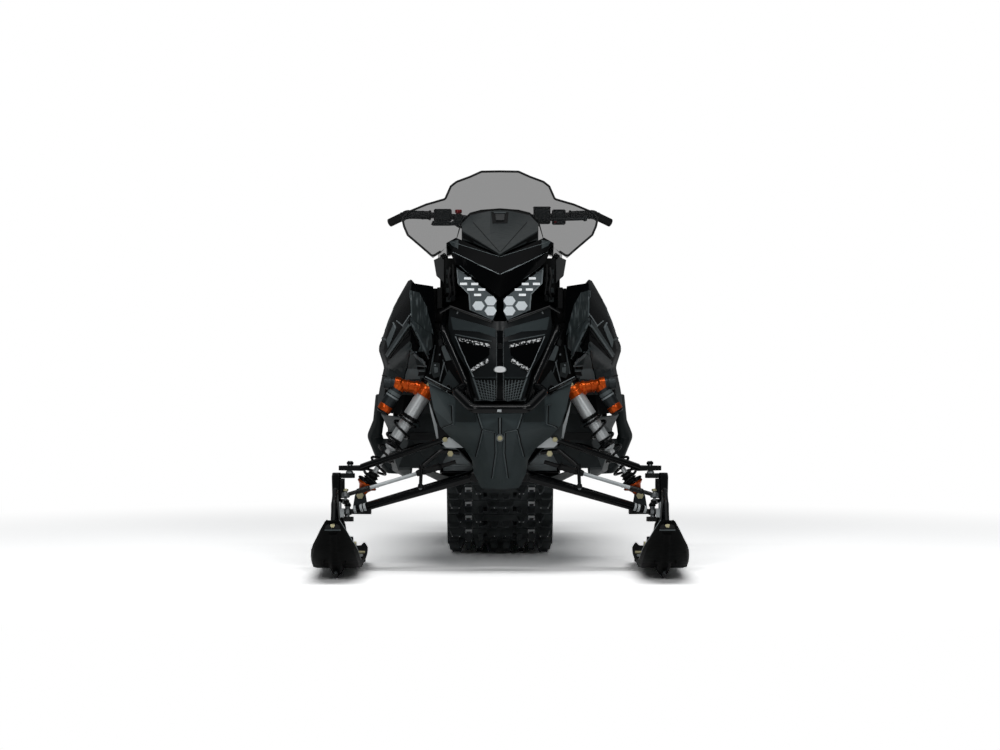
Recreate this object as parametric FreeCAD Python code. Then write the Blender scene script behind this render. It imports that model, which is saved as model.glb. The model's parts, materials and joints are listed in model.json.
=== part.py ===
"""Snowmobile, full size, in millimetres.

+Z is up, the skis point to -Y and X runs across the machine. The floor is z = 0 and the origin
lies on it, midway between the ski tips and the rear bumper. Shapes on both sides are made once,
on the +X side, and mirrored.
"""
import FreeCAD, Part
import math
import os

os.makedirs("parts", exist_ok=True)
V = FreeCAD.Vector

# ---------------------------------------------------------------- driving dimensions
FRONT_Y = -1550.0            # ski tips
REAR_Y = 1550.0              # rear bumper
SKI_X = 546.0                # ski centre line, half the stance
SKI_BOLT_Y = -895.0
SKI_BOLT_Z = 92.0

TRACK_WIDTH = 381.0
BELT = 8.0                   # belt thickness
LUG = 32.0                   # lug height
LEAN = 11.0                  # how far the ends of a lug lean in
PITCHES = 48                 # lug rows round the loop
SPROCKET = (-250.0, 375.0, 92.0)      # y, z and radius of the inner belt surface
FRONT_BEND = (45.0, 295.0, 255.0)
REAR_WHEEL = (1130.0, 130.0, 90.0)
CARRIER = (480.0, 345.0, 67.0)
GUIDE_X = 113.0              # rails and track clips

TUNNEL_X = 212.0             # outer half width
BOARD_Z = 330.0              # running board top
BOARD_X = 392.0              # outer edge of the running boards
SHEET = 3.0                  # metal sheet
SKIN = 5.0                   # moulded plastic
POST_R = 14.0                # steering post
STUD_R = 9.0                 # ball joint studs
BOLT_R = 8.0                 # ski bolt
RUNNING = 0.08               # radial clearance where a pin turns in a bore
ROUND = 8                    # sides of a round bar or tube
SLIM = 15.5                  # bars up to this radius get two sides fewer
WHEEL_SIDES = 12             # sides of an idler wheel

KINGPIN_LOW = V(522, -900, 205)
KINGPIN_TOP = V(514, -884, 354)
TIE_OUT = V(524, -990, 267)
TIE_IN = V(150, -985, 380)
STEER_TOP = V(0, -405, 1185)
STEER_LOW = V(0, -640, 705)


# ---------------------------------------------------------------- helpers
def mirror(shape):
    """The same shape on the -X side."""
    return shape.mirror(V(0, 0, 0), V(1, 0, 0))


def both(shape):
    """A compound of the shape and its mirror image, as solids that don't touch."""
    return Part.makeCompound([shape, mirror(shape)])


def box(x0, x1, y0, y1, z0, z1):
    return Part.makeBox(x1 - x0, y1 - y0, z1 - z0, V(x0, y0, z0))


def across(direction):
    """Two unit vectors square to a direction and to each other."""
    side = direction.cross(V(0, 0, 1))
    if side.Length < 0.3:
        side = direction.cross(V(0, 1, 0))
    side.normalize()
    return side, side.cross(direction).normalize()


def ring(centre, direction, r, sides):
    """A regular ring of points round a centre. Its area is that of the circle of radius r."""
    u, w = across(direction)
    full = r * math.sqrt(2 * math.pi / sides / math.sin(2 * math.pi / sides))
    return [centre + u * (full * math.cos(2 * math.pi * (k + 0.5) / sides))
            + w * (full * math.sin(2 * math.pi * (k + 0.5) / sides)) for k in range(sides)]


def rod(a, b, r, r2=None, sides=None):
    """A round bar from a to b, tapered where r2 is given, as a prism with few sides."""
    d = (b - a).normalize()
    sides = sides or (ROUND if r > SLIM else ROUND - 2)
    return rings([ring(a, d, r, sides), ring(b, d, r2 or r, sides)])


def pin(a, b, r, sides=12):
    """A pin that turns: its corners lie on the circle of radius r."""
    return rod(a, b, r / math.sqrt(2 * math.pi / sides / math.sin(2 * math.pi / sides)), sides=sides)


def hole(a, b, r, sides=12):
    """A tool for the hole that a pin turns in: its flats touch the circle of radius r from outside."""
    return pin(a, b, r / math.cos(math.pi / sides), sides)


def fuse(*shapes):
    flat = [s for s in shapes if s is not None]
    whole = flat[0].multiFuse(flat[1:]) if len(flat) > 1 else flat[0]
    return whole.removeSplitter()


def plate(points, axis, low, high):
    """A flat polygon pushed along axis from low to high. points are the other two coordinates in X, Y, Z order."""
    place = {"x": lambda p: V(low, p[0], p[1]), "y": lambda p: V(p[0], low, p[1]),
             "z": lambda p: V(p[0], p[1], low)}[axis]
    push = {"x": V(high - low, 0, 0), "y": V(0, high - low, 0), "z": V(0, 0, high - low)}[axis]
    ring = [place(p) for p in points]
    return Part.Face(Part.makePolygon(ring + ring[:1])).extrude(push)


def rounded(points, bend, cuts=2):
    """The points of a bent tube's centre line: straight runs, and cuts chords round each corner."""
    line = [points[0]]
    for a, p, b in zip(points, points[1:], points[2:]):
        u, w = (a - p).normalize(), (b - p).normalize()
        half = math.acos(max(-1, min(1, u.dot(w)))) / 2
        reach = min(bend / math.tan(half), 0.45 * (a - p).Length, 0.45 * (b - p).Length)
        radius = reach * math.tan(half)
        centre = p + (u + w).normalize() * (radius / math.sin(half))
        start, end = p + u * reach - centre, p + w * reach - centre
        sweep = math.pi - 2 * half
        for k in range(cuts + 1):
            t = sweep * k / cuts
            line.append(centre + (start * math.sin(sweep - t) + end * math.sin(t)) * (1 / math.sin(sweep)))
    return line + [points[-1]]


def tube(points, r, bend=40.0, sides=None):
    """A round tube along points, with rounded corners."""
    points = [V(*p) for p in points]
    sides = sides or (ROUND if r > SLIM else ROUND - 2)
    if len(points) == 2:
        return rod(points[0], points[1], r, sides=sides)
    line = rounded(points, bend)
    way = (line[1] - line[0]).normalize()
    sections = [ring(line[0], way, r, sides)]
    for i in range(1, len(line)):
        step = (line[i] - line[i - 1]).normalize()
        onward = (line[i + 1] - line[i]).normalize() if i + 1 < len(line) else step
        cut = (step + onward).normalize()
        sections.append([p + step * ((line[i] - p).dot(cut) / step.dot(cut)) for p in sections[-1]])
    return rings(sections)


def triangle(a, b, c):
    if (b - a).cross(c - a).Length < 1e-3:
        return None
    return Part.Face(Part.makePolygon([a, b, c, a]))


def closed(faces):
    """A solid from faces that meet edge to edge."""
    solid = Part.Solid(Part.makeShell([f for f in faces if f is not None]))
    if solid.Volume < 0:
        solid.reverse()
    return solid


def quad(a, b, c, d):
    """Two triangles, or one flat face where the four points lie in a plane."""
    n = (b - a).cross(c - a)
    if n.Length > 1e-3 and abs(n.normalize().dot(d - a)) < 1e-4:
        return [Part.Face(Part.makePolygon([a, b, c, d, a]))]
    return [triangle(a, b, c), triangle(a, c, d)]


def rings(sections):
    """A closed body through rings of points, with the same number of points in each."""
    faces = []
    count = len(sections[0])
    for first, second in zip(sections, sections[1:]):
        for i in range(count):
            j = (i + 1) % count
            faces += quad(first[i], first[j], second[j], second[i])
    for ring in (sections[0], sections[-1]):
        middle = V(0, 0, 0)
        for p in ring:
            middle = middle + p * (1.0 / count)
        faces += [triangle(ring[i], ring[(i + 1) % count], middle) for i in range(count)]
    return closed(faces)


def block(low, high):
    """A body between two rings of four points."""
    faces = quad(*low) + quad(*high)
    for i in range(4):
        j = (i + 1) % 4
        faces += quad(low[i], low[j], high[j], high[i])
    return closed(faces)


def skin(rows, thick):
    """A shell of even thickness whose outer surface passes through rows of points. The thickness goes to the
    right-hand side of (along a row) x (from row to row)."""
    n, m = len(rows), len(rows[0])

    def normal(i, j):
        total = V(0, 0, 0)
        for a in (i - 1, i):
            for b in (j - 1, j):
                if 0 <= a < n - 1 and 0 <= b < m - 1:
                    p, q, r, s = rows[a][b], rows[a][b + 1], rows[a + 1][b + 1], rows[a + 1][b]
                    face = (r - p).cross(s - q)
                    if face.Length > 1e-6:
                        total = total + face.normalize()
        return total.normalize()

    inner = [[rows[i][j] + normal(i, j) * thick for j in range(m)] for i in range(n)]
    faces = []
    for i in range(n - 1):
        for j in range(m - 1):
            faces += quad(rows[i][j], rows[i][j + 1], rows[i + 1][j + 1], rows[i + 1][j])
            faces += quad(inner[i][j], inner[i][j + 1], inner[i + 1][j + 1], inner[i + 1][j])
    rim = [(0, j) for j in range(m - 1)] + [(i, m - 1) for i in range(n - 1)]
    rim += [(n - 1, j) for j in range(m - 1, 0, -1)] + [(i, 0) for i in range(n - 1, 0, -1)]
    for (i, j), (k, l) in zip(rim, rim[1:] + rim[:1]):
        faces += quad(rows[i][j], rows[k][l], inner[k][l], inner[i][j])
    return closed(faces)


NODES = {}


def node(name, shape):
    """Keep a finished shape under its name."""
    NODES[name] = shape


def turned(profile, a, b, sides=ROUND):
    """A turned solid along the line from a to b. profile holds (distance along the line, radius)."""
    d = (b - a).normalize()
    return rings([ring(a + d * t, d, r, sides) for t, r in profile])


# ---------------------------------------------------------------- track and rear suspension
def tangent(c1, c2):
    """Where the outer tangent leaves circle c1 and meets circle c2, for a loop that turns left in (y, z)."""
    dy, dz = c2[0] - c1[0], c2[1] - c1[1]
    dist = math.hypot(dy, dz)
    along = math.atan2(dz, dy)
    lean = math.acos((c1[2] - c2[2]) / dist)
    angle = along - lean
    return ((c1[0] + c1[2] * math.cos(angle), c1[1] + c1[2] * math.sin(angle)),
            (c2[0] + c2[2] * math.cos(angle), c2[1] + c2[2] * math.sin(angle)), angle)


def loop_points(offset, step):
    """Points and outward directions at even steps along the belt, at a height over its inner surface."""
    circles = [(y, z, r + offset) for y, z, r in (SPROCKET, FRONT_BEND, REAR_WHEEL, CARRIER)]
    runs = [tangent(circles[i], circles[(i + 1) % 4]) for i in range(4)]
    pieces = []
    for i in range(4):
        p, q, angle = runs[i]
        pieces.append(("line", p, q, angle))
        c = circles[(i + 1) % 4]
        turn = (runs[(i + 1) % 4][2] - angle) % (2 * math.pi)
        pieces.append(("arc", c, angle, turn))
    lengths = [math.hypot(x[2][0] - x[1][0], x[2][1] - x[1][1]) if x[0] == "line" else x[1][2] * x[3]
               for x in pieces]
    total = sum(lengths)
    found = []
    for k in range(step):
        s = total * k / step
        for piece, length in zip(pieces, lengths):
            if s <= length:
                break
            s -= length
        if piece[0] == "line":
            t = s / length
            y = piece[1][0] + (piece[2][0] - piece[1][0]) * t
            z = piece[1][1] + (piece[2][1] - piece[1][1]) * t
            angle = piece[3]
        else:
            c, begin, turn = piece[1:]
            angle = begin + turn * s / length
            y, z = c[0] + c[2] * math.cos(angle), c[1] + c[2] * math.sin(angle)
        found.append((y, z, angle))
    return found, total


def track():
    stations, length = loop_points(BELT / 2, PITCHES * 2)
    inner = [(y - BELT / 2 * math.cos(a), z - BELT / 2 * math.sin(a)) for y, z, a in stations]
    outer = [(y + BELT / 2 * math.cos(a), z + BELT / 2 * math.sin(a)) for y, z, a in stations]
    half = TRACK_WIDTH / 2
    belt = plate(outer, "x", -half, half).cut(plate(inner, "x", -half - 1, half + 1))
    # lug blocks of an even and of an odd row: inner edge and outer edge of each block
    layout = {0: ((-184, -132), (-52, 52), (132, 184)), 1: ((-158, -66), (66, 158))}
    base, tip, sunk = 13.0, 6.0, 4.0
    lugs = []
    for row in range(PITCHES):
        y, z, a = stations[row * 2]
        out, along = (math.cos(a), math.sin(a)), (-math.sin(a), math.cos(a))
        foot, top = BELT / 2 - sunk, BELT / 2 + LUG
        for x0, x1 in layout[row % 2]:
            foot_ring, top_ring = ([V(x, y + out[0] * h + along[0] * w * side, z + out[1] * h + along[1] * w * side)
                                    for x, side in ((a0, -1), (a1, -1), (a1, 1), (a0, 1))]
                                   for h, w, a0, a1 in ((foot, base, x0, x1), (top, tip, x0 + LEAN, x1 - LEAN)))
            lugs.append(block(foot_ring, top_ring))
    whole = belt.multiFuse(lugs)
    print("track loop", round(length), "mm")
    return whole


def sprocket(x):
    """An eight-tooth drive sprocket on the axle."""
    y, z, r = SPROCKET
    teeth = 8
    ring = []
    for k in range(teeth):
        for turn, radius in ((-0.36, 70), (-0.2, r - 2), (0.2, r - 2), (0.36, 70)):
            a = 2 * math.pi * (k + turn) / teeth
            ring.append((y + radius * math.cos(a), z + radius * math.sin(a)))
    return plate(ring, "x", x - 12, x + 12)


def wheel(x, y, z, r, width=20.0):
    """An idler wheel: rubber tread and dished web."""
    web, flat = width * 0.3, math.cos(math.pi / WHEEL_SIDES)
    profile = ((web, 18), (0, r - 15), (0, r), (width, r), (width, r - 15), (width - web, 18))
    return turned([(t, radius * flat) for t, radius in profile], V(x - width / 2, y, z), V(x + width / 2, y, z), WHEEL_SIDES)


def axle_with_wheels(y, z, r, places, half, shaft=12.5):
    parts = [rod(V(-half, y, z), V(half, y, z), shaft)]
    parts += [wheel(x, y, z, r) for x in places]
    return fuse(*parts)


def rail(side):
    """One slide rail, its foot and its slide, following the belt's inner surface."""
    y0, z0, r0 = FRONT_BEND
    foot_z = z0 - r0 + 0.6
    low, high = [], []
    for k in range(5):
        a = math.radians(-90 - k * 13)
        low.append((y0 + (r0 - 0.6) * math.cos(a), z0 + (r0 - 0.6) * math.sin(a)))
        high.append((y0 + (r0 - 62) * math.cos(a), z0 + (r0 - 62) * math.sin(a)))
    tail = REAR_WHEEL[0] - 105
    outline = list(reversed(low)) + [(tail, foot_z)] + [(tail, foot_z + 66), (tail - 60, foot_z + 72)]
    outline += [(y0 + 420, foot_z + 78), (y0 + 200, foot_z + 72)] + high
    web = plate(outline, "x", side * GUIDE_X - 5, side * GUIDE_X + 5)
    foot = list(reversed(low)) + [(tail, foot_z), (tail, foot_z + 14)]
    foot += [(p[0], p[1]) for p in [(y0 + (r0 - 14) * math.cos(math.radians(-90 - k * 13)),
                                    z0 + (r0 - 14) * math.sin(math.radians(-90 - k * 13))) for k in range(5)]]
    slide = plate(foot, "x", side * GUIDE_X - 13, side * GUIDE_X + 13)
    # lightening holes along the web
    for y in range(int(y0) + 60, int(tail) - 100, 120):
        slot = plate([(y, foot_z + 26), (y + 62, foot_z + 26), (y + 74, foot_z + 40), (y + 62, foot_z + 56),
                      (y, foot_z + 56), (y - 12, foot_z + 40)], "x", side * GUIDE_X - 6, side * GUIDE_X + 6)
        web = web.cut(slot)
    return fuse(web, slide)


def strut(a, b, body=24.0, shaft=8.0, share=0.55):
    """A damper: eyes at both ends, a body from a and a shaft to b."""
    d = (b - a).normalize()
    middle = a + d * (a.sub(b).Length * share)
    return fuse(rod(a, middle, body), rod(middle - d * 5, b, shaft), rod(a - V(14, 0, 0), a + V(14, 0, 0), 14),
                rod(b - V(14, 0, 0), b + V(14, 0, 0), 14))


def coil(a, b, radius, wire, turns, per_turn=12):
    """A coil spring from a to b, as a swept ring along short straight runs."""
    axis = (b - a).normalize()
    u = axis.cross(V(0, 1, 0)).normalize()
    w = axis.cross(u)
    length = (b - a).Length
    rings_ = []
    steps = int(turns * per_turn)
    for k in range(steps + 1):
        t = 2 * math.pi * k / per_turn
        out = u * math.cos(t) + w * math.sin(t)
        centre = a + axis * (length * k / steps) + out * radius
        rings_.append([centre + out * (wire * math.cos(c)) + axis * (wire * math.sin(c))
                       for c in (0.0, math.pi * 2 / 3, math.pi * 4 / 3)])
    return rings(rings_)


node("track_belt", track())

y, z, r = SPROCKET
node("drive_axle", fuse(rod(V(-196, y, z), V(196, y, z), 16), sprocket(-60), sprocket(60)))
node("slide_rails", Part.makeCompound([rail(-1), rail(1)]))
y, z, r = REAR_WHEEL
node("rear_axle", axle_with_wheels(y, z, r - 2.6, (-150, -40, 40, 150), 168))
y, z, r = CARRIER
node("carrier_wheels", axle_with_wheels(y, z, r - 3.0, (-70, 70), 100))
BOGIE_Z = FRONT_BEND[1] - FRONT_BEND[2] + 66.6
bogies = []
for y, places in ((330, (-150, -75, 75, 150)), (720, (-150, 150))):
    bogies.append(axle_with_wheels(y, BOGIE_Z, 66, places, 165, 11))
node("bogie_wheels", Part.makeCompound(bogies))

# torque arms: a cross tube on the tunnel, two side tubes and a cross tube on the rails
FRONT_ARM = (V(0, -95, 415), V(0, 190, 88))
REAR_ARM = (V(0, 600, 345), V(0, 905, 88))
arms = []
for top, low in (FRONT_ARM, REAR_ARM):
    arms.append(fuse(rod(V(-209, top.y, top.z), V(209, top.y, top.z), 15), rod(V(-108, low.y, low.z), V(108, low.y, low.z), 15),
                     rod(V(150, top.y, top.z), V(85, low.y, low.z), 14), rod(V(-150, top.y, top.z), V(-85, low.y, low.z), 14)))
node("skid_arms", Part.makeCompound(arms))
skid_shocks = []
for top, low in ((V(0, -80, 395), V(0, 255, 92)), (V(0, 590, 322), V(0, 440, 92))):
    skid_shocks.append(fuse(strut(top, low, 24, 8), rod(V(-108, low.y, low.z), V(108, low.y, low.z), 9)))
node("skid_shocks", Part.makeCompound(skid_shocks))

# ---------------------------------------------------------------- tunnel and boards
TUNNEL_Y = (-400.0, 1335.0)
tunnel_side = [(TUNNEL_Y[0], 300), (TUNNEL_Y[0], 585), (-340, 592), (TUNNEL_Y[1], 508), (TUNNEL_Y[1], 420),
               (1150, 385), (960, 345), (900, 318), (-300, 318)]
outer = plate(tunnel_side, "x", -TUNNEL_X, TUNNEL_X)
drop = SHEET
hollow = plate([(TUNNEL_Y[0] - 1, 280), (TUNNEL_Y[0] - 1, 585 - drop), (-340, 592 - drop),
                (TUNNEL_Y[1] + 1, 508 - drop), (TUNNEL_Y[1] + 1, 280)], "x", -TUNNEL_X + SHEET, TUNNEL_X - SHEET)
tunnel = outer.cut(hollow)


def deck(y, raise_by=0.0):
    """The tunnel roof's height at y."""
    return 592 - (y + 340) * 84 / 1675 + raise_by


PAD_Y, PAD_X, PAD = (880.0, 1310.0), 172.0, 2.5
ANCHOR, ANCHOR_R = V(112, 1150, deck(1150)), 15.0      # accessory anchor holes in the deck
roof_up = V(0, 84, 1675).normalize()
pad = plate([(y, deck(y, h)) for y, h in ((PAD_Y[0], -1), (PAD_Y[1], -1), (PAD_Y[1], PAD), (PAD_Y[0], PAD))], "x", -PAD_X, PAD_X)
pivots = [rod(V(side * TUNNEL_X, top.y, top.z), V(side * (TUNNEL_X + 6), top.y, top.z), 22)
          for side in (-1, 1) for top, low in (FRONT_ARM, REAR_ARM)]
tunnel = fuse(tunnel, pad, *pivots)
for side in (-1, 1):
    place = V(side * ANCHOR.x, ANCHOR.y, ANCHOR.z)
    tunnel = tunnel.fuse(rod(place - roof_up * 14, place - roof_up * 1, 24))
    tunnel = tunnel.cut(Part.makeCylinder(ANCHOR_R, 40, place - roof_up * 20, roof_up))
node("tunnel", tunnel)

board = plate([(TUNNEL_X, -330), (BOARD_X - 12, -330), (BOARD_X, -200), (BOARD_X, 620), (340, 900), (TUNNEL_X, 900)],
              "z", BOARD_Z - 4, BOARD_Z)
edge = tube([(BOARD_X - 14, -330, BOARD_Z - 2), (BOARD_X, -200, BOARD_Z - 2), (BOARD_X, 620, BOARD_Z - 2),
             (340, 900, BOARD_Z - 2), (TUNNEL_X, 905, BOARD_Z - 2)], 10, 30)
node("running_boards", both(fuse(board, edge)))

# toe hold: a tube from the board's edge up to the side panel, with a wall inside it
hold = tube([(360, -300, 318), (400, -340, 322), (424, -400, 362), (456, -440, 446), (434, -470, 500), (424, -505, 590)], 12, 30)
well = rings([[V(TUNNEL_X + 1, -384, z), V(376, -384, z), V(380, -378, z), V(TUNNEL_X + 1, -378, z)] for z in (BOARD_Z + 1, 560)])
node("toe_holds", both(fuse(hold, well, box(352, 384, -400, -384, 331, 345))))

# ---------------------------------------------------------------- front frame
FRAME_Y = (-1036.0, -748.0)          # the bulkhead between the arms' pivots
FRAME_HALF = ((214, 572), (198, 500), (162, 440), (71, 345), (66, 300))
frame_line = [(-x, z) for x, z in FRAME_HALF] + [(x, z) for x, z in FRAME_HALF[::-1]]
hull = skin([[V(x, y, z) for x, z in frame_line] for y in FRAME_Y], 4)
FLANGE = ((222, 574), (213, 505), (208, 456), (128, 444), (71, 345), (66, 300))
flange_line = [(-x, z) for x, z in FLANGE] + [(x, z) for x, z in FLANGE[::-1]]
ends = [plate(flange_line, "y", FRAME_Y[0], FRAME_Y[0] + 4), plate(frame_line, "y", FRAME_Y[1] - 5, FRAME_Y[1] - 1)]
window = plate([(-120, 470), (-60, 400), (60, 400), (120, 470), (140, 540), (-140, 540)], "y", -1100, -1000)
CRADLE_X, CRADLE_Z = 208.0, 334.0
cradle = [box(-CRADLE_X, CRADLE_X, FRAME_Y[1] - 1, -404, CRADLE_Z - 4, CRADLE_Z), box(-CRADLE_X, CRADLE_X, -408, -404, 300, 580)]
cradle += [box(x, x + 4, FRAME_Y[1] - 1, -404, CRADLE_Z - 4, 470) for x in (-CRADLE_X, CRADLE_X - 4)]
TOWER = ((192, 552), (213, 552), (258, 618), (260, 650), (228, 655), (214, 620))
towers = [plate([(side * x, z) for x, z in TOWER], "y", y, y + 6) for side in (-1, 1) for y in (-912, -874)]
bulkhead = fuse(hull, ends[0].cut(window), ends[1], *(cradle + towers))
node("bulkhead", bulkhead)
node("engine_block", box(-198, 198, -738, -425, CRADLE_Z + 1, 640))
hoop = []
for side in (1, -1):
    hoop.append(tube([(side * 92, -1040, 574), (side * 116, -1046, 650), (side * 196, -960, 830), (side * 170, -640, 955),
                      (side * 170, -415, 720), (side * 185, -388, 589)], 10, 40))
COLLAR = STEER_LOW + (STEER_TOP - STEER_LOW) * 0.349
way = (STEER_TOP - STEER_LOW).normalize()
frame = fuse(hoop[0], hoop[1], rod(V(-170, COLLAR.y, COLLAR.z), V(170, COLLAR.y, COLLAR.z), 11),
             rod(V(-172, -652, 948), V(172, -652, 948), 10), rod(V(-95, -1040, 580), V(95, -1040, 580), 8), rod(COLLAR - way * 28, COLLAR + way * 28, 26))
node("frame_tubes", frame.cut(hole(COLLAR - way * 40, COLLAR + way * 40, POST_R + RUNNING)))
BOXES = ((197, 215, -896, -770, 900, 972), (217, 288, -862, -700, 856, 968), (150, 190, -868, -700, 948, 1072), (210, 296, -822, -600, 600, 866))
node("inner_boxes", both(Part.makeCompound([box(*sizes) for sizes in BOXES])))
INNER = ((178, 848), (222, 848), (220, 760), (236, 700), (232, 664), (205, 600), (150, 590), (130, 640), (156, 740))
LOWER_INNER = ((218, 540), (266, 540), (266, 596), (262, 616), (218, 616))
BULK_WALL = ((-160, 850), (160, 850), (160, 1050), (-160, 1050))      # closes the engine bay behind the lamps
node("inner_panels", Part.makeCompound([both(fuse(plate(INNER, "y", -862, -858))), both(fuse(plate(LOWER_INNER, "y", -846, -842))),
                                        plate(BULK_WALL, "y", -690, -686)]))

belly_rows = []
for y, w1, z1, w0, z0 in ((-742, 285, 425, 170, 322), (-620, 300, 410, 214, 304), (-412, 300, 400, 214, 298)):
    belly_rows.append([V(-w1, y, z1), V(-w1 * 0.93, y, z0 + 26), V(-w0, y, z0 - 6), V(w0, y, z0 - 6),
                       V(w1 * 0.93, y, z0 + 26), V(w1, y, z1)])
node("belly_pan", skin(belly_rows, -3))

NOSE = (((244, -1000, 658), (170, -1046, 612), (85, -1120, 578), (0, -1160, 574)),
        ((222, -1043, 560), (168, -1060, 548), (92, -1132, 540), (0, -1182, 540)),
        ((201, -1042, 505), (150, -1080, 500), (95, -1136, 498), (0, -1190, 498)),
        ((167, -1044, 470), (130, -1084, 468), (84, -1132, 466), (0, -1186, 466)),
        ((116, -1046, 430), (96, -1090, 430), (64, -1122, 430), (0, -1172, 430)),
        ((91, -1048, 390), (76, -1086, 390), (50, -1110, 390), (0, -1152, 390)),
        ((84, -1050, 345), (66, -1076, 345), (40, -1098, 345), (0, -1130, 345)),
        ((60, -1052, 296), (48, -1068, 296), (30, -1086, 296), (0, -1110, 296)))
node("nose_cover", skin([[V(-x, y, z) for x, y, z in row] + [V(x, y, z) for x, y, z in row[-2::-1]] for row in NOSE], -SKIN))

bumper_line = [(126, -1052, 636), (150, -1140, 622), (92, -1215, 567)]
node("front_bumper", tube(bumper_line + [(-x, y, z) for x, y, z in bumper_line[::-1]], 15, 36))

GRILLE = (((169, -946, 904), (104, -990, 884), (14, -1042, 857)), ((174, -948, 845), (96, -1000, 838), (13, -1048, 828)),
          ((166, -958, 800), (86, -1012, 792), (12, -1054, 788)), ((137, -980, 740), (70, -1036, 738), (12, -1076, 738)),
          ((104, -1014, 690), (55, -1064, 690), (12, -1098, 690)), ((92, -1048, 640), (45, -1092, 640), (12, -1120, 640)),
          ((76, -1088, 592), (40, -1126, 592), (12, -1146, 592)))
node("grille_panel", skin([[V(-x, y, z) for x, y, z in row] + [V(x, y, z) for x, y, z in row[::-1]] for row in GRILLE], -SKIN))

# ---------------------------------------------------------------- hood, lamps, screen
hood_half = (((165, -902, 1078), (148, -950, 1051), (69, -1012, 991), (0, -1060, 939)),
             ((166, -884, 1102), (158, -905, 1096), (80, -992, 1055), (0, -1075, 1013)),
             ((184, -852, 1124), (151, -866, 1142), (68, -932, 1104), (0, -1000, 1076)),
             ((186, -640, 1085), (130, -640, 1100), (65, -640, 1108), (0, -640, 1110)))
node("hood", skin([[V(-x, y, z) for x, y, z in row] + [V(x, y, z) for x, y, z in row[-2::-1]] for row in hood_half], -SKIN))


def lamp_y(x, z):
    """The lamps' front plane."""
    return -1052 + 0.75 * x + 0.07 * (z - 940)


lamp_front = ((148, 1040), (144, 986), (107, 949), (103, 895), (25, 861), (14, 885), (14, 935))
front_ring = [V(x, lamp_y(x, z), z) for x, z in lamp_front]
back_ring = [V(14 + (x - 14) * 0.8, lamp_y(x, z) + 80, 950 + (z - 950) * 0.8) for x, z in lamp_front]
node("headlamp_housings", both(rings([front_ring, back_ring])))
LENS = []
for x, z in ((32, 927), (73, 910), (32, 893)):
    LENS.append([(x + 21 * math.cos(math.radians(a)), z + 15.3 * math.sin(math.radians(a)) / 0.866) for a in range(0, 360, 60)])
for x, z in ((110, 1003), (124, 984), (86, 984), (100, 965), (62, 965), (76, 947)):
    LENS.append([(x - 12, z - 4), (x + 12, z - 4), (x + 12, z + 4), (x - 12, z + 4)])
lenses = []
for outline in LENS:
    near = [V(x, lamp_y(x, z) - 4, z) for x, z in outline]
    far = [V(x, lamp_y(x, z), z) for x, z in outline]
    lenses.append(rings([near, far]))
node("headlamp_lenses", both(Part.makeCompound(lenses)))

POD = (((133, -660, 1120), (100, -640, 1115), (33, -630, 1110), (0, -630, 1110)),
       ((133, -706, 1190), (103, -684, 1221), (33, -676, 1236), (0, -676, 1238)),
       ((133, -750, 1190), (103, -725, 1221), (33, -700, 1236), (0, -698, 1238)),
       ((129, -800, 1166), (92, -853, 1143), (33, -937, 1106), (0, -985, 1086)),
       ((129, -806, 1135), (92, -858, 1123.5), (33, -942, 1098), (0, -990, 1080)))
node("gauge_pod", skin([[V(-x, y, z) for x, y, z in row] + [V(x, y, z) for x, y, z in row[-2::-1]] for row in POD[::-1]], -SKIN))
node("gauge", rings([[V(x, y + dy, z) for x, y, z in ((-78, -634, 1118), (78, -634, 1118), (78, -664, 1208), (-78, -664, 1208))]
                     for dy in (2, 14)]))


def screen_y(x, z):
    """The windshield's surface: raked back and wrapped round the pod."""
    return -825 + (z - 1080) * 0.967 + 0.0008 * x * x


screen = ((0, 1243, 1381), (65, 1238, 1380), (104, 1228, 1362), (136, 1196, 1350), (152, 1132, 1344), (172, 1120, 1328),
          (191, 1108, 1283), (205, 1092, 1279), (232, 1074, 1271), (257, 1096, 1264), (320, 1149, 1238), (334, 1180, 1224),
          (344, 1206, 1214))
screen_rows = []
for x, low, high in [(-x, a, b) for x, a, b in screen[:0:-1]] + list(screen):
    screen_rows.append([V(x, screen_y(x, z), z) for z in (low, (low + high) / 2, high)])
node("windshield", skin(screen_rows, 3))
corner = [(228, 1066), (202, 1078), (192, 1066), (192, 984), (196, 992), (218, 1011)]
node("windshield_brackets", both(rings([[V(x, screen_y(x, z) + dy, z) for x, z in corner] for dy in (0, 5)])))

# side panels: rows from the top down, each from the inner front edge round the fold to the knee
PANEL = (((232, -880, 975), (300, -960, 985), (312, -800, 992), (306, -640, 996), (280, -420, 960)),
         ((228, -895, 925), (304, -980, 925), (345, -800, 930), (354, -600, 926), (318, -390, 900)),
         ((226, -900, 850), (306, -985, 850), (372, -810, 850), (386, -600, 850), (345, -370, 830)),
         ((226, -905, 800), (302, -985, 805), (385, -800, 803), (404, -600, 800), (360, -360, 780)),
         ((236, -905, 757), (306, -972, 757), (395, -790, 757), (418, -600, 757), (372, -355, 735)),
         ((254, -836, 696), (312, -838, 696), (378, -780, 694), (400, -600, 692), (378, -350, 670)),
         ((270, -836, 610), (324, -838, 610), (392, -765, 615), (416, -600, 615), (395, -350, 600)),
         ((282, -836, 535), (334, -838, 535), (400, -740, 540), (424, -590, 540), (405, -350, 535)))


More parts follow.
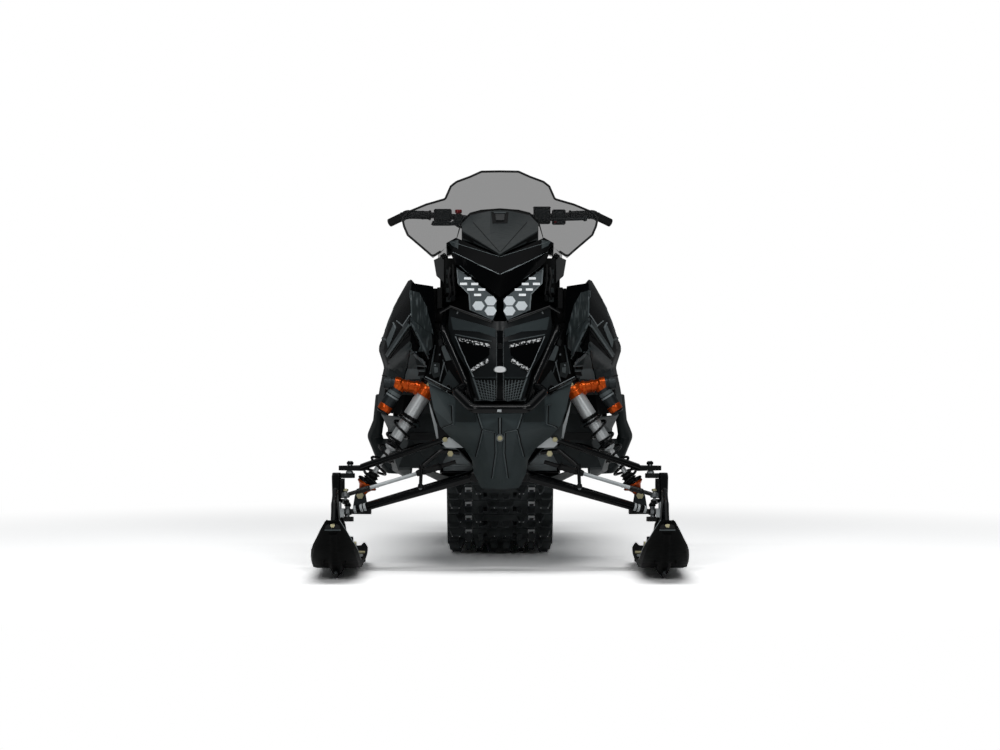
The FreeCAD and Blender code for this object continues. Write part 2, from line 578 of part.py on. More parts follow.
def on_panel(u, z, raise_by):
    """A point over the side panel: u counts its columns from the inner edge, z is a height at the fold."""
    heights = [row[1][2] for row in PANEL]
    i = max(k for k in range(len(PANEL) - 1) if heights[k] >= z or k == 0)
    j = min(int(u), len(PANEL[0]) - 2)
    t, f = (heights[i] - z) / (heights[i] - heights[i + 1]), u - j
    a, b, c, d = (V(*PANEL[i + di][j + dj]) for di, dj in ((0, 0), (0, 1), (1, 0), (1, 1)))
    point = (a * (1 - f) + b * f) * (1 - t) + (c * (1 - f) + d * f) * t
    out = (b - a).cross(c - a).normalize()
    return point - out * raise_by


# raised chevrons on the panel: apex at the fold, then the ends of the outer and the inner arm, as (column, height)
CHEVRONS = ((868, (2.62, 738), (0.12, 752)), (830, (2.45, 715), (0.4, 745)))
WIDTH, RISE, SUNK = 20.0, 5.0, 3.5
bands = []
for apex, outer_end, inner_end in CHEVRONS:
    for end in (outer_end, inner_end):
        u0 = 1.03 if end[0] > 1 else 0.97
        path = [(u0 + (end[0] - u0) * k / 3, apex + (end[1] - apex) * k / 3) for k in range(4)]
        bands.append(rings([[on_panel(u, z, -SUNK), on_panel(u, z, RISE), on_panel(u, z - WIDTH, RISE), on_panel(u, z - WIDTH, -SUNK)]
                            for u, z in path]))
panel = skin([[V(*p) for p in row] for row in PANEL], -SKIN)
for band in bands:
    panel = panel.fuse(band)
node("side_panel_left", panel)
node("side_panel_right", mirror(panel))
LOWER = (((284, -834, 528), (335, -834, 528), (398, -738, 532), (412, -592, 532), (400, -400, 530)),
         ((270, -770, 470), (326, -768, 470), (376, -720, 480), (388, -580, 480), (388, -398, 480)),
         ((262, -762, 412), (305, -758, 412), (372, -700, 405), (386, -560, 400), (386, -398, 400)),
         ((303, -752, 345), (309, -748, 345), (350, -690, 340), (372, -560, 332), (372, -398, 332)),
         ((304, -740, 330), (308, -736, 328), (318, -680, 312), (322, -560, 304), (322, -398, 304)))
node("lower_panels", both(skin([[V(*p) for p in row] for row in LOWER], -SKIN)))

# ---------------------------------------------------------------- console, tank, seat
console_rows = []
for y, w1, z1, w0, z0 in ((-655, 172, 1062, 112, 1086), (-560, 190, 1000, 120, 1040), (-480, 196, 950, 124, 984), (-386, 204, 872, 130, 922)):
    console_rows.append([V(-w1 - 22, y, z1 - 80), V(-w1, y, z1), V(-w0, y, z0), V(0, y, z0 + 8), V(w0, y, z0), V(w1, y, z1),
                         V(w1 + 22, y, z1 - 80)])
post = rod(STEER_LOW, STEER_TOP, 40)
node("console", skin(console_rows, SKIN).cut(post))

tank_sections = []
for y, w, zt, zb in ((-380, 190, 905, 600), (-250, 205, 918, 596), (-60, 190, 860, 587), (40, 165, 800, 582)):
    tank_sections.append([V(x, y, z) for x, z in ((-w * 0.8, zb), (w * 0.8, zb), (w, zb + 50), (w, zt - 80), (w * 0.72, zt - 12),
                                                  (w * 0.3, zt), (-w * 0.3, zt), (-w * 0.72, zt - 12), (-w, zt - 80), (-w, zb + 50))])
node("fuel_tank", fuse(rings(tank_sections), rod(V(0, -250, 915), V(0, -250, 945), 42)))

seat_sections = []
for y, w, wt, zt, zb in ((46, 150, 110, 800, 590), (200, 150, 118, 782, 578), (450, 155, 135, 775, 565), (700, 150, 128, 790, 553), (830, 120, 100, 770, 620)):
    seat_sections.append([V(x, y, z) for x, z in ((-w * 0.85, zb), (w * 0.85, zb), (w, zb + 60), (w * 0.92, zt - 50), (wt * 0.8, zt),
                                                  (-wt * 0.8, zt), (-w * 0.92, zt - 50), (-w, zb + 60))])
node("seat", rings(seat_sections))
node("tail_light", rings([[V(-95, 838, 660), V(95, 838, 660), V(75, 836, 735), V(-75, 836, 735)],
                          [V(-95, 872, 650), V(95, 872, 650), V(75, 860, 740), V(-75, 860, 740)]]))
node("rear_bumper", fuse(tube([(-219, 1120, 470), (-219, 1300, 500), (-200, 1455, 590), (200, 1455, 590), (219, 1300, 500), (219, 1120, 470)], 12, 60)))
node("snow_flap", fuse(plate([(1330, 500), (1345, 508), (1500, 400), (REAR_Y, 262), (1542, 258), (1492, 392)], "x", -205, 205)))

# ---------------------------------------------------------------- front suspension
LOW_IN = ((86, -1008, 330), (86, -775, 330))
TOP_IN = ((186, -1008, 458), (186, -775, 458))
TOP_LUG = ((468, -936), (512, -900), (526, -894), (530, -884), (526, -874), (512, -868), (468, -838))
kingpin = (KINGPIN_TOP - KINGPIN_LOW).normalize()


def bore(centre, r):
    """A tool for a hole along the kingpin's direction."""
    return hole(centre - kingpin * 30, centre + kingpin * 30, r)


low_arm = fuse(tube([LOW_IN[0], (496, -914, 212)], 14), tube([LOW_IN[1], (496, -886, 212)], 14),
               plate([(455, -936), (500, -922), (516, -912), (516, -888), (500, -878), (455, -862)], "z", 198, 214),
               rod(KINGPIN_LOW - kingpin * 10, KINGPIN_LOW + kingpin * 10, 15),
               rod(V(LOW_IN[0][0], -1030, 330), V(LOW_IN[0][0], -986, 330), 17),
               rod(V(LOW_IN[1][0], -797, 330), V(LOW_IN[1][0], -753, 330), 17),
               rod(V(330, -953, 260), V(330, -830, 260), 9),
               plate([(455, 214), (500, 214), (494, 262), (478, 276), (462, 262)], "y", -912, -906),
               plate([(455, 214), (500, 214), (494, 262), (478, 276), (462, 262)], "y", -874, -868))
low_arm = low_arm.cut(bore(KINGPIN_LOW, STUD_R + RUNNING))
node("lower_arms", both(low_arm))
top_arm = fuse(tube([TOP_IN[0], (476, -925, 356)], 10), tube([TOP_IN[1], (476, -850, 356)], 10),
               plate(TOP_LUG, "z", 346, 362),
               rod(V(TOP_IN[0][0], -1028, 458), V(TOP_IN[0][0], -988, 458), 14),
               rod(V(TOP_IN[1][0], -795, 458), V(TOP_IN[1][0], -755, 458), 14))
top_arm = top_arm.cut(bore(KINGPIN_TOP, STUD_R + RUNNING))
node("upper_arms", both(top_arm))
SHOCK_LOW, SHOCK_TOP = V(478, -890, 262), V(241, -890, 637)
shock_line = (SHOCK_TOP - SHOCK_LOW).normalize()
shock_length = (SHOCK_TOP - SHOCK_LOW).Length


def on_shock(d):
    return SHOCK_LOW + shock_line * d


BODY, STOP, SHAFT, SEAT = 42.0, 215.0, 262.0, 398.0        # where each part starts, down from the top eye


def down(d):
    """A point on the damper's axis, d down from its top eye."""
    return on_shock(shock_length - d)


node("front_shocks", both(Part.makeCompound([fuse(rod(down(BODY), down(152), 25), rod(down(150), down(STOP), 20)), rod(down(SHAFT), down(SEAT), 8)])))
spring = coil(down(SEAT - 5), down(166), 37.0, 5.0, 6.5, 7)
collar = rod(down(152), down(162), 35).cut(rod(down(140), down(170), 20))
node("front_springs", both(Part.makeCompound([spring, collar, rod(down(STOP), down(SHAFT), 20)])))
# the orange cap and its bridge, and the lower seat; the reservoir hangs from the bridge
ELBOW, KNOB = V(352, -890, 642), V(396, -890, 646)
cap = fuse(rod(down(2), down(BODY), 33), rod(SHOCK_TOP - V(0, 16, 0), SHOCK_TOP + V(0, 16, 0), 16), rod(down(16), ELBOW, 19))
foot = fuse(rod(down(SEAT), down(SEAT + 12), 40, 38), rod(down(SEAT + 11), down(shock_length), 24, 14),
            rod(SHOCK_LOW - V(0, 16, 0), SHOCK_LOW + V(0, 16, 0), 14))
node("shock_caps", both(Part.makeCompound([cap, foot])))
bottle = V(354, -890, 622)
node("shock_reservoirs", both(fuse(rod(ELBOW, KNOB, 22), rod(bottle + shock_line * 26, bottle - shock_line * 92, 24.5))))
sway = fuse(tube([(136, -1014, 413), (200, -1014, 420), (262, -1014, 368)], 8, 30),
            rod(V(266, -1014, 372), V(270, -1014, 292), 7), rod(V(270, -1020, 292), V(270, -972, 290), 7))
node("sway_bar", both(sway))

# ---------------------------------------------------------------- steering
node("steering_post", pin(STEER_LOW, STEER_TOP, POST_R))
up = (STEER_TOP - STEER_LOW).normalize()
BAR = STEER_TOP + up * 30
node("bar_clamp", rings([[BAR + V(x, -26, z) for x, z in ((-45, -38), (45, -38), (45, 22), (-45, 22))],
                         [BAR + V(x, 26, z) for x, z in ((-45, -38), (45, -38), (45, 22), (-45, 22))]]))
bar_half = [(0, BAR.y, BAR.z), (95, BAR.y, BAR.z), (200, BAR.y + 8, BAR.z + 12), (330, BAR.y + 42, BAR.z + 17), (392, BAR.y + 76, BAR.z - 12)]
node("handlebar", tube([(-x, y, z) for x, y, z in bar_half[3:0:-1]] + bar_half[1:4], 11, 50))
grip = tube([(246, BAR.y + 20, BAR.z + 13.8)] + bar_half[3:], 16, 30)
node("grips", both(grip))
node("controls_left", fuse(box(118, 180, BAR.y - 50, BAR.y + 20, BAR.z - 30, BAR.z + 42), box(184, 232, BAR.y - 26, BAR.y + 40, BAR.z - 22, BAR.z + 36),
                           tube([(150, BAR.y - 55, BAR.z), (240, BAR.y - 75, BAR.z + 5), (300, BAR.y - 60, BAR.z + 5)], 6, 20)))
node("controls_right", fuse(box(-232, -170, BAR.y - 26, BAR.y + 30, BAR.z - 16, BAR.z + 42), box(-166, -136, BAR.y - 20, BAR.y + 30, BAR.z - 12, BAR.z + 44),
                            tube([(-150, BAR.y - 30, BAR.z - 10), (-240, BAR.y - 40, BAR.z - 12)], 6, 20)))

# ---------------------------------------------------------------- spindles, skis, tie rods
LEG = ((120, SKI_X, 24, 40), (160, SKI_X + 4, 22, 35), (196, SKI_X + 13, 17, 28), (336, SKI_X + 13, 16, 24))
leg = rings([[V(x + dx * w, SKI_BOLT_Y + dy * d, z) for dx, dy in ((-1, -1), (1, -1), (1, 1), (-1, 1))]
             for z, x, w, d in LEG])
LOW_BOSS = ((SKI_X + 2, -916), (506, -912), (500, -900), (506, -888), (SKI_X + 2, -876))
TOP_BOSS = ((SKI_X + 2, -904), (500, -898), (496, -886), (500, -874), (SKI_X + 2, -872))
ARM = ((548, -905), (520, -915), (512, -985), (518, -1002), (530, -1002), (536, -985), (540, -920))
spindle = fuse(leg, rod(V(SKI_X - 24, SKI_BOLT_Y, SKI_BOLT_Z), V(SKI_X + 24, SKI_BOLT_Y, SKI_BOLT_Z), 22),
               box(SKI_X - 24, SKI_X + 24, SKI_BOLT_Y - 22, SKI_BOLT_Y + 22, SKI_BOLT_Z, 124),
               plate(LOW_BOSS, "z", 172, 188), plate(TOP_BOSS, "z", 320, 336), plate(ARM, "z", 236, 250),
               pin(KINGPIN_LOW - kingpin * 30, KINGPIN_LOW + kingpin * 32, STUD_R),
               pin(KINGPIN_TOP - kingpin * 30, KINGPIN_TOP + kingpin * 24, STUD_R),
               rod(KINGPIN_TOP + kingpin * 12, KINGPIN_TOP + kingpin * 24, 14), rod(KINGPIN_LOW + kingpin * 18, KINGPIN_LOW + kingpin * 30, 14),
               pin(TIE_OUT - kingpin * 26, TIE_OUT + kingpin * 22, 5), rod(TIE_OUT + kingpin * 13, TIE_OUT + kingpin * 21, 8),
               pin(V(SKI_X - 56, SKI_BOLT_Y, SKI_BOLT_Z), V(SKI_X + 56, SKI_BOLT_Y, SKI_BOLT_Z), BOLT_R))
node("spindle_left", spindle)
node("spindle_right", mirror(spindle))

# ski: blade sections along y as (y, half width, underside z, edge z, keel depth)
SKI = ((FRONT_Y, 40, 206, 214, 0), (-1512, 62, 168, 182, 0), (-1440, 76, 110, 130, 2), (-1350, 80, 66, 92, 8), (-1240, 83, 38, 66, 22),
       (-1100, 86, 27, 56, 24), (-700, 86, 27, 56, 24), (-540, 82, 34, 60, 22), (-480, 70, 50, 72, 10))
blade = []
for y, w, zu, ze, keel in SKI:
    zk = max(zu - keel, 6)
    blade.append([V(SKI_X + x, y, z) for x, z in ((-w, ze - 8), (-w * 0.8, zu), (-22, zu), (-10, zk), (10, zk), (22, zu), (w * 0.8, zu), (w, ze - 8),
                                                  (w, ze), (w * 0.78, zu + 14), (-w * 0.78, zu + 14), (-w, ze))])
blade = rings(blade)
saddle = []
for side in (-1, 1):
    x = SKI_X + side * 36.5
    saddle.append(plate([(-1010, 36), (-985, 70), (SKI_BOLT_Y - 34, 118), (SKI_BOLT_Y + 34, 118), (-790, 70), (-760, 36)], "x", x - 6.5, x + 6.5))
loop = tube([(SKI_X, -1500, 190), (SKI_X, -1420, 262), (SKI_X, -1300, 306), (SKI_X, -1130, 190), (SKI_X, -1070, 44)], 9, 60)
ski = fuse(blade, saddle[0], saddle[1], loop)
ski = ski.cut(hole(V(SKI_X - 70, SKI_BOLT_Y, SKI_BOLT_Z), V(SKI_X + 70, SKI_BOLT_Y, SKI_BOLT_Z), BOLT_R + RUNNING))
node("ski_left", ski)
node("ski_right", mirror(ski))
runner = tube([(SKI_X, -1300, 26), (SKI_X, -1200, 5.6), (SKI_X, -640, 5.6), (SKI_X, -590, 18)], 5, 20)
node("runner_left", runner)
node("runner_right", mirror(runner))
tie = fuse(rod(TIE_OUT - kingpin * 9, TIE_OUT + kingpin * 9, 14), rod(TIE_OUT, TIE_IN, 8.5)).cut(bore(TIE_OUT, 5 + RUNNING))
node("tie_rod_left", tie)
node("tie_rod_right", mirror(tie))

# each node is cut to fit round the ones that pass through it or that it lies on
FITS = (("bar_clamp", "handlebar", "steering_post"), ("controls_left", "handlebar", "grips"), ("controls_right", "handlebar", "grips"),
        ("grips", "handlebar"), ("slide_rails", "bogie_wheels", "skid_arms", "skid_shocks"), ("skid_shocks", "skid_arms"),
        ("running_boards", "tunnel", "toe_holds"), ("rear_bumper", "tunnel"), ("frame_tubes", "tunnel", "bulkhead", "front_bumper"),
        ("lower_arms", "bulkhead"), ("upper_arms", "bulkhead"), ("sway_bar", "bulkhead", "lower_arms"), ("ski_left", "runner_left"),
        ("ski_right", "runner_right"), ("nose_cover", "front_bumper", "frame_tubes"), ("shock_caps", "bulkhead", "lower_arms"), ("front_shocks", "shock_caps"),
        ("shock_reservoirs", "shock_caps"), ("grille_panel", "headlamp_housings", "frame_tubes", "front_bumper"), ("toe_holds", "side_panel_left", "side_panel_right", "lower_panels"),
        ("belly_pan", "lower_panels", "bulkhead"), ("console", "frame_tubes", "hood"), ("gauge", "gauge_pod"), ("bulkhead", "front_bumper"))
for name, *others in FITS:
    NODES[name] = NODES[name].cut([NODES[other] for other in others])

for name, shape in NODES.items():
    if not shape.isValid():
        print("not valid:", name)
    shape.exportStep("parts/%s.step" % name)
    print(name, shape.ShapeType, len(shape.Solids), round(shape.Volume / 1000), "cm3")
print(len(NODES), "nodes")
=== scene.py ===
# %% [markdown]
# # A snowmobile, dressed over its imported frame
# The CAD model gives every piece its place, size and joint. This lesson copies or rebuilds each
# piece with the roundness, edges, small parts and finishes that the real machine shows, and hangs
# it on the same body, so that it steers and rocks with the frame. Tables and calls are in
# millimetres and meshes in metres. +Z is up, the skis point to -Y and the rider's left is +X.

# %% Load the frame and keep its size
import bpy, bmesh, json, math
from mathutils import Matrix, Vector
from mathutils.bvhtree import BVHTree

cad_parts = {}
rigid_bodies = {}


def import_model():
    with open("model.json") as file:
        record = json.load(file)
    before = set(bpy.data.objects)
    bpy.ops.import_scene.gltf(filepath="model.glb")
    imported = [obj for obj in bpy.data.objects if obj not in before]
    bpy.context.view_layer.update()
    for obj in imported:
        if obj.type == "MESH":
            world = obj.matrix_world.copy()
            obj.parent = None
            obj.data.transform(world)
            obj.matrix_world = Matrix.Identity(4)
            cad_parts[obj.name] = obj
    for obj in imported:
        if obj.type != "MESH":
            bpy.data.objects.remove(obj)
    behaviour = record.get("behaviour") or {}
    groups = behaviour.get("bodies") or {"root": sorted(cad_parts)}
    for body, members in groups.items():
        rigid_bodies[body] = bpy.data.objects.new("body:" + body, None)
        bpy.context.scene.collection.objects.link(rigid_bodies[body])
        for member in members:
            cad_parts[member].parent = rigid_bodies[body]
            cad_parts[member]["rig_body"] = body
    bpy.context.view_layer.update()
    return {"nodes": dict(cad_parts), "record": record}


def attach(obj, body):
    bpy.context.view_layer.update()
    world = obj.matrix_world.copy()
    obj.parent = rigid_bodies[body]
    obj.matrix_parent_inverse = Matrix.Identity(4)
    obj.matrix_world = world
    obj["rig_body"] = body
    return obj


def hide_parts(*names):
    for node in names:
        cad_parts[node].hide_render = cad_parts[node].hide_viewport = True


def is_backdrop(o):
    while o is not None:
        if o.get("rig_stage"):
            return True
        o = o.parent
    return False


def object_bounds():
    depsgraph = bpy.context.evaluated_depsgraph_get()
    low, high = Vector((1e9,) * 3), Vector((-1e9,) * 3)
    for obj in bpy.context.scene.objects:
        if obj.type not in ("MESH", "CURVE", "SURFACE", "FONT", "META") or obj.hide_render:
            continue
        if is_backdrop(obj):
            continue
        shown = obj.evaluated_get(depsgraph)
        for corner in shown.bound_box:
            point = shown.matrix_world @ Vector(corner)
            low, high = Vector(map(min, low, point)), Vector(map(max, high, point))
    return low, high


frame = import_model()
scene = bpy.context.scene
SLOT_OF = {part["node"]: part["material_slot"] for part in frame["record"]["subparts"]}
SIDES = ("left", 1), ("right", -1)
FORWARD, UP, LEFT = Vector((0, 1, 0)), Vector((0, 0, 1)), Vector((1, 0, 0))

# %% [markdown]
# ## The camera and the studio
# A sled this long looks flat from far away and bulges from close by. The camera stands nearly
# fifteen metres off with a long lens, at the height of the gauges, as for a catalogue.
# The floor and the world are pure white where the camera or a window sees them, and that
# white comes from Light Path, so the lamps stay at a plain level and black plastic stays black.

# %% Camera


def look_at(thing, place, spot):
    """Stands a camera or a lamp at a place in metres, turned to a spot."""
    scene.collection.objects.link(thing)
    thing.location = place
    thing.rotation_euler = (Vector(spot) - thing.location).to_track_quat("-Z", "Y").to_euler()


camera_data = bpy.data.cameras.new("camera")
camera_data.lens, camera_data.sensor_width = 144.6, 36.0
scene.camera = bpy.data.objects.new("camera", camera_data)
look_at(scene.camera, (0.0, -14.62, 1.02), (0.0, 0.0, 0.65))
scene.view_settings.view_transform = "Standard"

# %% [markdown]
# ## One way to write node trees
# Shader maths reads best as sums. `Value` wraps a socket and turns `a * b + 1` into Math nodes, and
# `Tree.node` makes any other node: its type, its settings, then what goes into its sockets. The
# same two serve the materials and the Geometry Nodes tree further down.

# %% Sockets as values


class Value:
    """A socket of a node tree that can be used in sums."""
    def __init__(self, tree, socket):
        self.tree, self.socket = tree, socket

    def _math(self, operation, first, second=0.0):
        return self.tree.node("ShaderNodeMath", {"operation": operation}, {0: first, 1: second})

    def __add__(self, other): return self._math("ADD", self, other)
    def __radd__(self, other): return self._math("ADD", other, self)
    def __mul__(self, other): return self._math("MULTIPLY", self, other)
    def __rmul__(self, other): return self._math("MULTIPLY", other, self)
    def __gt__(self, other): return self._math("GREATER_THAN", self, other)
    def __lt__(self, other): return self._math("LESS_THAN", self, other)
    def wave(self): return self._math("SINE", self)
    def size(self): return self._math("ABSOLUTE", self)


class Tree:
    """Adds nodes to a material or to a Geometry Nodes tree."""
    def __init__(self, tree):
        self.tree = tree

    def put(self, target, value):
        if isinstance(value, Value):
            self.tree.links.new(value.socket, target)
        elif hasattr(target, "default_value"):
            target.default_value = value

    def node(self, kind, settings=None, sockets=None, out=0):
        made = self.tree.nodes.new(kind)
        for key, value in (settings or {}).items():
            setattr(made, key, value)
        for key, value in (sockets or {}).items():
            self.put(made.inputs[key], value)
        return Value(self, made.outputs[out]) if made.outputs else made

    def seen(self):
        """1 where the eye looks, straight or through a window."""
        ray, window = (self.node("ShaderNodeLightPath", out=kind) for kind in ("Is Camera Ray", "Is Transmission Ray"))
        return ray + window


def emptied(owner):
    """The node tree of a world or a material, with nothing in it yet."""
    owner.use_nodes = True
    owner.node_tree.nodes.clear()
    return owner.node_tree


def ink(code):
    """A colour written as RRGGBB, in the linear numbers that shaders use."""
    parts = [int(code[k:k + 2], 16) / 255 for k in (0, 2, 4)]
    return tuple(c / 12.92 if c < 0.04045 else ((c + 0.055) / 1.055) ** 2.4 for c in parts)


# %% The world and the floor
scene.world = bpy.data.worlds.new("studio")
sky = Tree(emptied(scene.world))
seen = sky.seen()
plain = sky.node("ShaderNodeBackground", None, {"Color": (0.86, 0.90, 0.92, 1), "Strength": 0.10})
white = sky.node("ShaderNodeBackground", None, {"Color": (1, 1, 1, 1), "Strength": 1.0})
sky.node("ShaderNodeOutputWorld", None,
         {"Surface": sky.node("ShaderNodeMixShader", None, {0: seen, 1: plain, 2: white})})


def floor_material(fade_from=1.6, fade_to=3.4):
    """White to the eye where it is lit, grey only where the machine shades it, and white far off."""
    made = bpy.data.materials.new("studio_floor")
    tree = Tree(emptied(made))
    lit = tree.node("ShaderNodeBsdfDiffuse", None, {"Color": (0.93, 0.93, 0.93, 1)})
    near = tree.node("ShaderNodeBsdfDiffuse", None, {"Color": (2.0, 2.0, 2.0, 1)})
    far = tree.node("ShaderNodeEmission", None, {"Color": (1, 1, 1, 1), "Strength": 1.0})
    place = tree.node("ShaderNodeTexCoord", out="Object")
    reach = tree.node("ShaderNodeVectorMath", {"operation": "LENGTH"}, {0: place}, out="Value")
    fade = tree.node("ShaderNodeMapRange", {"interpolation_type": "SMOOTHSTEP"},
                     {"Value": reach, "From Min": fade_from, "From Max": fade_to})
    shown = tree.node("ShaderNodeMixShader", None, {0: fade, 1: near, 2: far})
    surface = tree.node("ShaderNodeMixShader", None, {0: tree.seen(), 1: lit, 2: shown})
    tree.node("ShaderNodeOutputMaterial", None, {"Surface": surface})
    return made


ground = bpy.data.meshes.new("floor")
ground.from_pydata([(-30, -16, 0), (30, -16, 0), (30, 60, 0), (-30, 60, 0)], [], [(0, 1, 2, 3)])
floor = bpy.data.objects.new("floor", ground)
scene.collection.objects.link(floor)
ground.materials.append(floor_material())
floor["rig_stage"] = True

# %% Soft lamps: name, place and width in metres, power in watts
for name, place, size, power in (
        ("overhead", (0.0, 0.2, 6.0), 7.0, 85.0), ("strip", (0.0, -3.2, 5.2), 6.0, 110.0),
        ("key_left", (-3.0, -9.0, 4.2), 2.0, 95.0), ("key_right", (3.0, -9.0, 4.2), 2.0, 95.0),
        ("rim_left", (-5.0, 1.5, 2.0), 2.5, 4.0), ("rim_right", (5.0, 1.5, 2.0), 2.5, 4.0)):
    data = bpy.data.lights.new(name, "AREA")
    data.shape, data.size, data.size_y, data.energy = "RECTANGLE", size, 0.35 if name == "strip" else size, power
    look_at(bpy.data.objects.new(name, data), place, (0, -0.3, 0.6))

# %% [markdown]
# ## Finishes
# A sled's dark parts are told apart by how they shine: grained mouldings, gloss mouldings, powder
# coated tube, anodised and polished aluminium, rubber. Each finish gets its own grain in metres
# through Object coordinates, and what varies feeds only colour, roughness and bump.

# %% A material and its helpers
M = {}


class Finish(Tree):
    """A material under construction: named textures on the piece's own coordinates."""
    def __init__(self, name):
        self.material = M[name] = bpy.data.materials.new(name)
        super().__init__(emptied(self.material))
        self.place = self.node("ShaderNodeTexCoord", out="Object")

    def stretched(self, scale, turn=(0, 0, 0)):
        return self.node("ShaderNodeMapping", None, {"Vector": self.place, "Scale": scale, "Rotation": turn})

    def noise(self, scale, detail=2.0, where=None, contrast=None):
        made = self.node("ShaderNodeTexNoise", None, {"Vector": where or self.place, "Scale": scale, "Detail": detail})
        if contrast:
            made = self.node("ShaderNodeMapRange", None,
                             {"Value": made, "From Min": contrast[0], "From Max": contrast[1]})
        return made

    def cells(self, scale, feature="DISTANCE_TO_EDGE"):
        return self.node("ShaderNodeTexVoronoi", {"feature": feature}, {"Vector": self.place, "Scale": scale})

    def axis(self, name):
        return self.node("ShaderNodeSeparateXYZ", None, {"Vector": self.place}, out=name)

    def mix(self, factor, first, second):
        """Two RRGGBB colours, mixed by a texture."""
        return self.node("ShaderNodeMix", {"data_type": "RGBA"},
                         {0: factor, 6: (*ink(first), 1), 7: (*ink(second), 1)}, out=2)

    def done(self, base, rough, bump=None, depth=0.0004, strength=0.5, **constants):
        """Closes the material. constants are Principled sockets, with _ for each space."""
        sockets = {"Base Color": base, "Roughness": rough}
        sockets.update({key.replace("_", " "): value for key, value in constants.items()})
        if bump is not None:
            sockets["Normal"] = self.node("ShaderNodeBump", None,
                                          {"Height": bump, "Distance": depth, "Strength": strength})
        shader = self.node("ShaderNodeBsdfPrincipled", None, sockets)
        self.node("ShaderNodeOutputMaterial", None, {"Surface": shader})


def moulded(name, low, high, rough, grain=1100.0, depth=0.00018, shine=0.3):
    """Grained plastic: cloudy colour, fine leather-like grain, scuffed sheen."""
    f = Finish(name)
    cloud = f.noise(5.0, 3.0, contrast=(0.35, 0.65))
    scuff = f.noise(40.0, 4.0, f.stretched((1, 1, 5)), contrast=(0.45, 0.7))
    f.done(f.mix(cloud, low, high), rough + scuff * 0.10, f.cells(grain) + f.noise(grain * 0.5), depth, 0.35,
           Specular_IOR_Level=shine)


def gloss(name, low, high, rough=0.10, shine=0.5, coat=0.5):
    """Injection gloss plastic: nearly flat colour, slight orange peel, a clear top."""
    f = Finish(name)
    cloud, haze = f.noise(4.0, 2.0), f.noise(70.0, 3.0, contrast=(0.4, 0.75))
    f.done(f.mix(cloud, low, high), rough + haze * 0.07, f.noise(260.0, 1.0), 0.00012, 0.25,
           Specular_IOR_Level=shine, Coat_Weight=coat, Coat_Roughness=0.06)


def metal(name, low, high, rough, scale=300.0, metallic=1.0, depth=0.00003, shine=0.5, grain=(1, 1, 1)):
    """Worked metal: tool or cast marks along a direction set by grain."""
    f = Finish(name)
    marks, tone = f.noise(scale, 3.0, f.stretched(grain)), f.noise(9.0, 3.0, contrast=(0.3, 0.7))
    f.done(f.mix(tone, low, high), rough + marks * 0.10, marks, depth, 0.3, Metallic=metallic, Specular_IOR_Level=shine)


def rubber(name, low, high, rough=0.5, scale=500.0):
    f = Finish(name)
    dust, pores = f.noise(14.0, 5.0, contrast=(0.42, 0.72)), f.noise(scale, 3.0)
    f.done(f.mix(dust, low, high), rough + pores * 0.15, pores, 0.0003, 0.5, Specular_IOR_Level=0.28)


# %% The plain finishes: name, darkest and lightest colour, roughness, then what sets them apart
gloss("gloss_black", "050708", "090b0c")
gloss("brow_black", "030405", "070809", 0.22, 0.05, 0.0)
gloss("badge_white", "dde0e1", "f6f7f7", 0.25, 0.4, 0.2)
gloss("switch_red", "b01218", "d61a20", 0.22)
gloss("lamp_red", "6e0508", "a00a0e", 0.08)
moulded("body_black", "0d1011", "14181a", 0.30)
moulded("body_dark", "1b2122", "242b2c", 0.34)
moulded("body_grey", "2a3133", "363e40", 0.36)
moulded("body_panel", "222829", "2b3133", 0.34, shine=0.2)
moulded("nose_panel", "31393a", "3c4446", 0.34, shine=0.2)
moulded("body_light", "4a5254", "5d6567", 0.36)
moulded("deep_black", "050606", "090a0b", 0.55, 700.0, shine=0.12)
moulded("ski_plastic", "020303", "050606", 0.5, 420.0, 0.0004, 0.06)
moulded("wheel_plastic", "15181a", "202426", 0.35)
metal("powder_black", "050607", "090b0c", 0.12, 900.0, 0.0, shine=0.26)
metal("bare_alloy", "9aa1a4", "b5babc", 0.30, 240.0, grain=(1, 6, 1))
metal("cast_alloy", "70777a", "8d9496", 0.42, 700.0, depth=0.0002)
metal("dark_alloy", "2b2f31", "3a3f41", 0.38, 200.0, 0.85, grain=(1, 8, 1))
metal("polished", "c2c6c8", "d8dcdd", 0.24, 300.0, 0.55, 0.00001)
metal("chrome_rod", "cfd3d5", "e4e7e8", 0.10, 400.0, 0.35, 0.00002)
metal("plain_steel", "75797b", "8f9395", 0.30, 500.0)
metal("zinc_yellow", "b3ab84", "d8d1ab", 0.30, 350.0, 0.8)
metal("anodised_orange", "b8430a", "d85c14", 0.24, 500.0, 0.75, 0.00001)
metal("silver_knuckle", "a9afb1", "c3c8ca", 0.40, 500.0, 0.15)
# clip_steel is near white with metal off: partly the steel's own bright colour, partly a painted sheen so that the
# clips and studs read bright in the shade under the nose.
metal("clip_steel", "ecefef", "fbfcfc", 0.25, 300.0, 0.0)
rubber("track_rubber", "3d4243", "5a5f60")
rubber("soft_rubber", "08090a", "101112", scale=800.0)
rubber("wheel_rubber", "101112", "1c1d1e")
rubber("hose_rubber", "08090a", "101112", 0.42, 900.0)
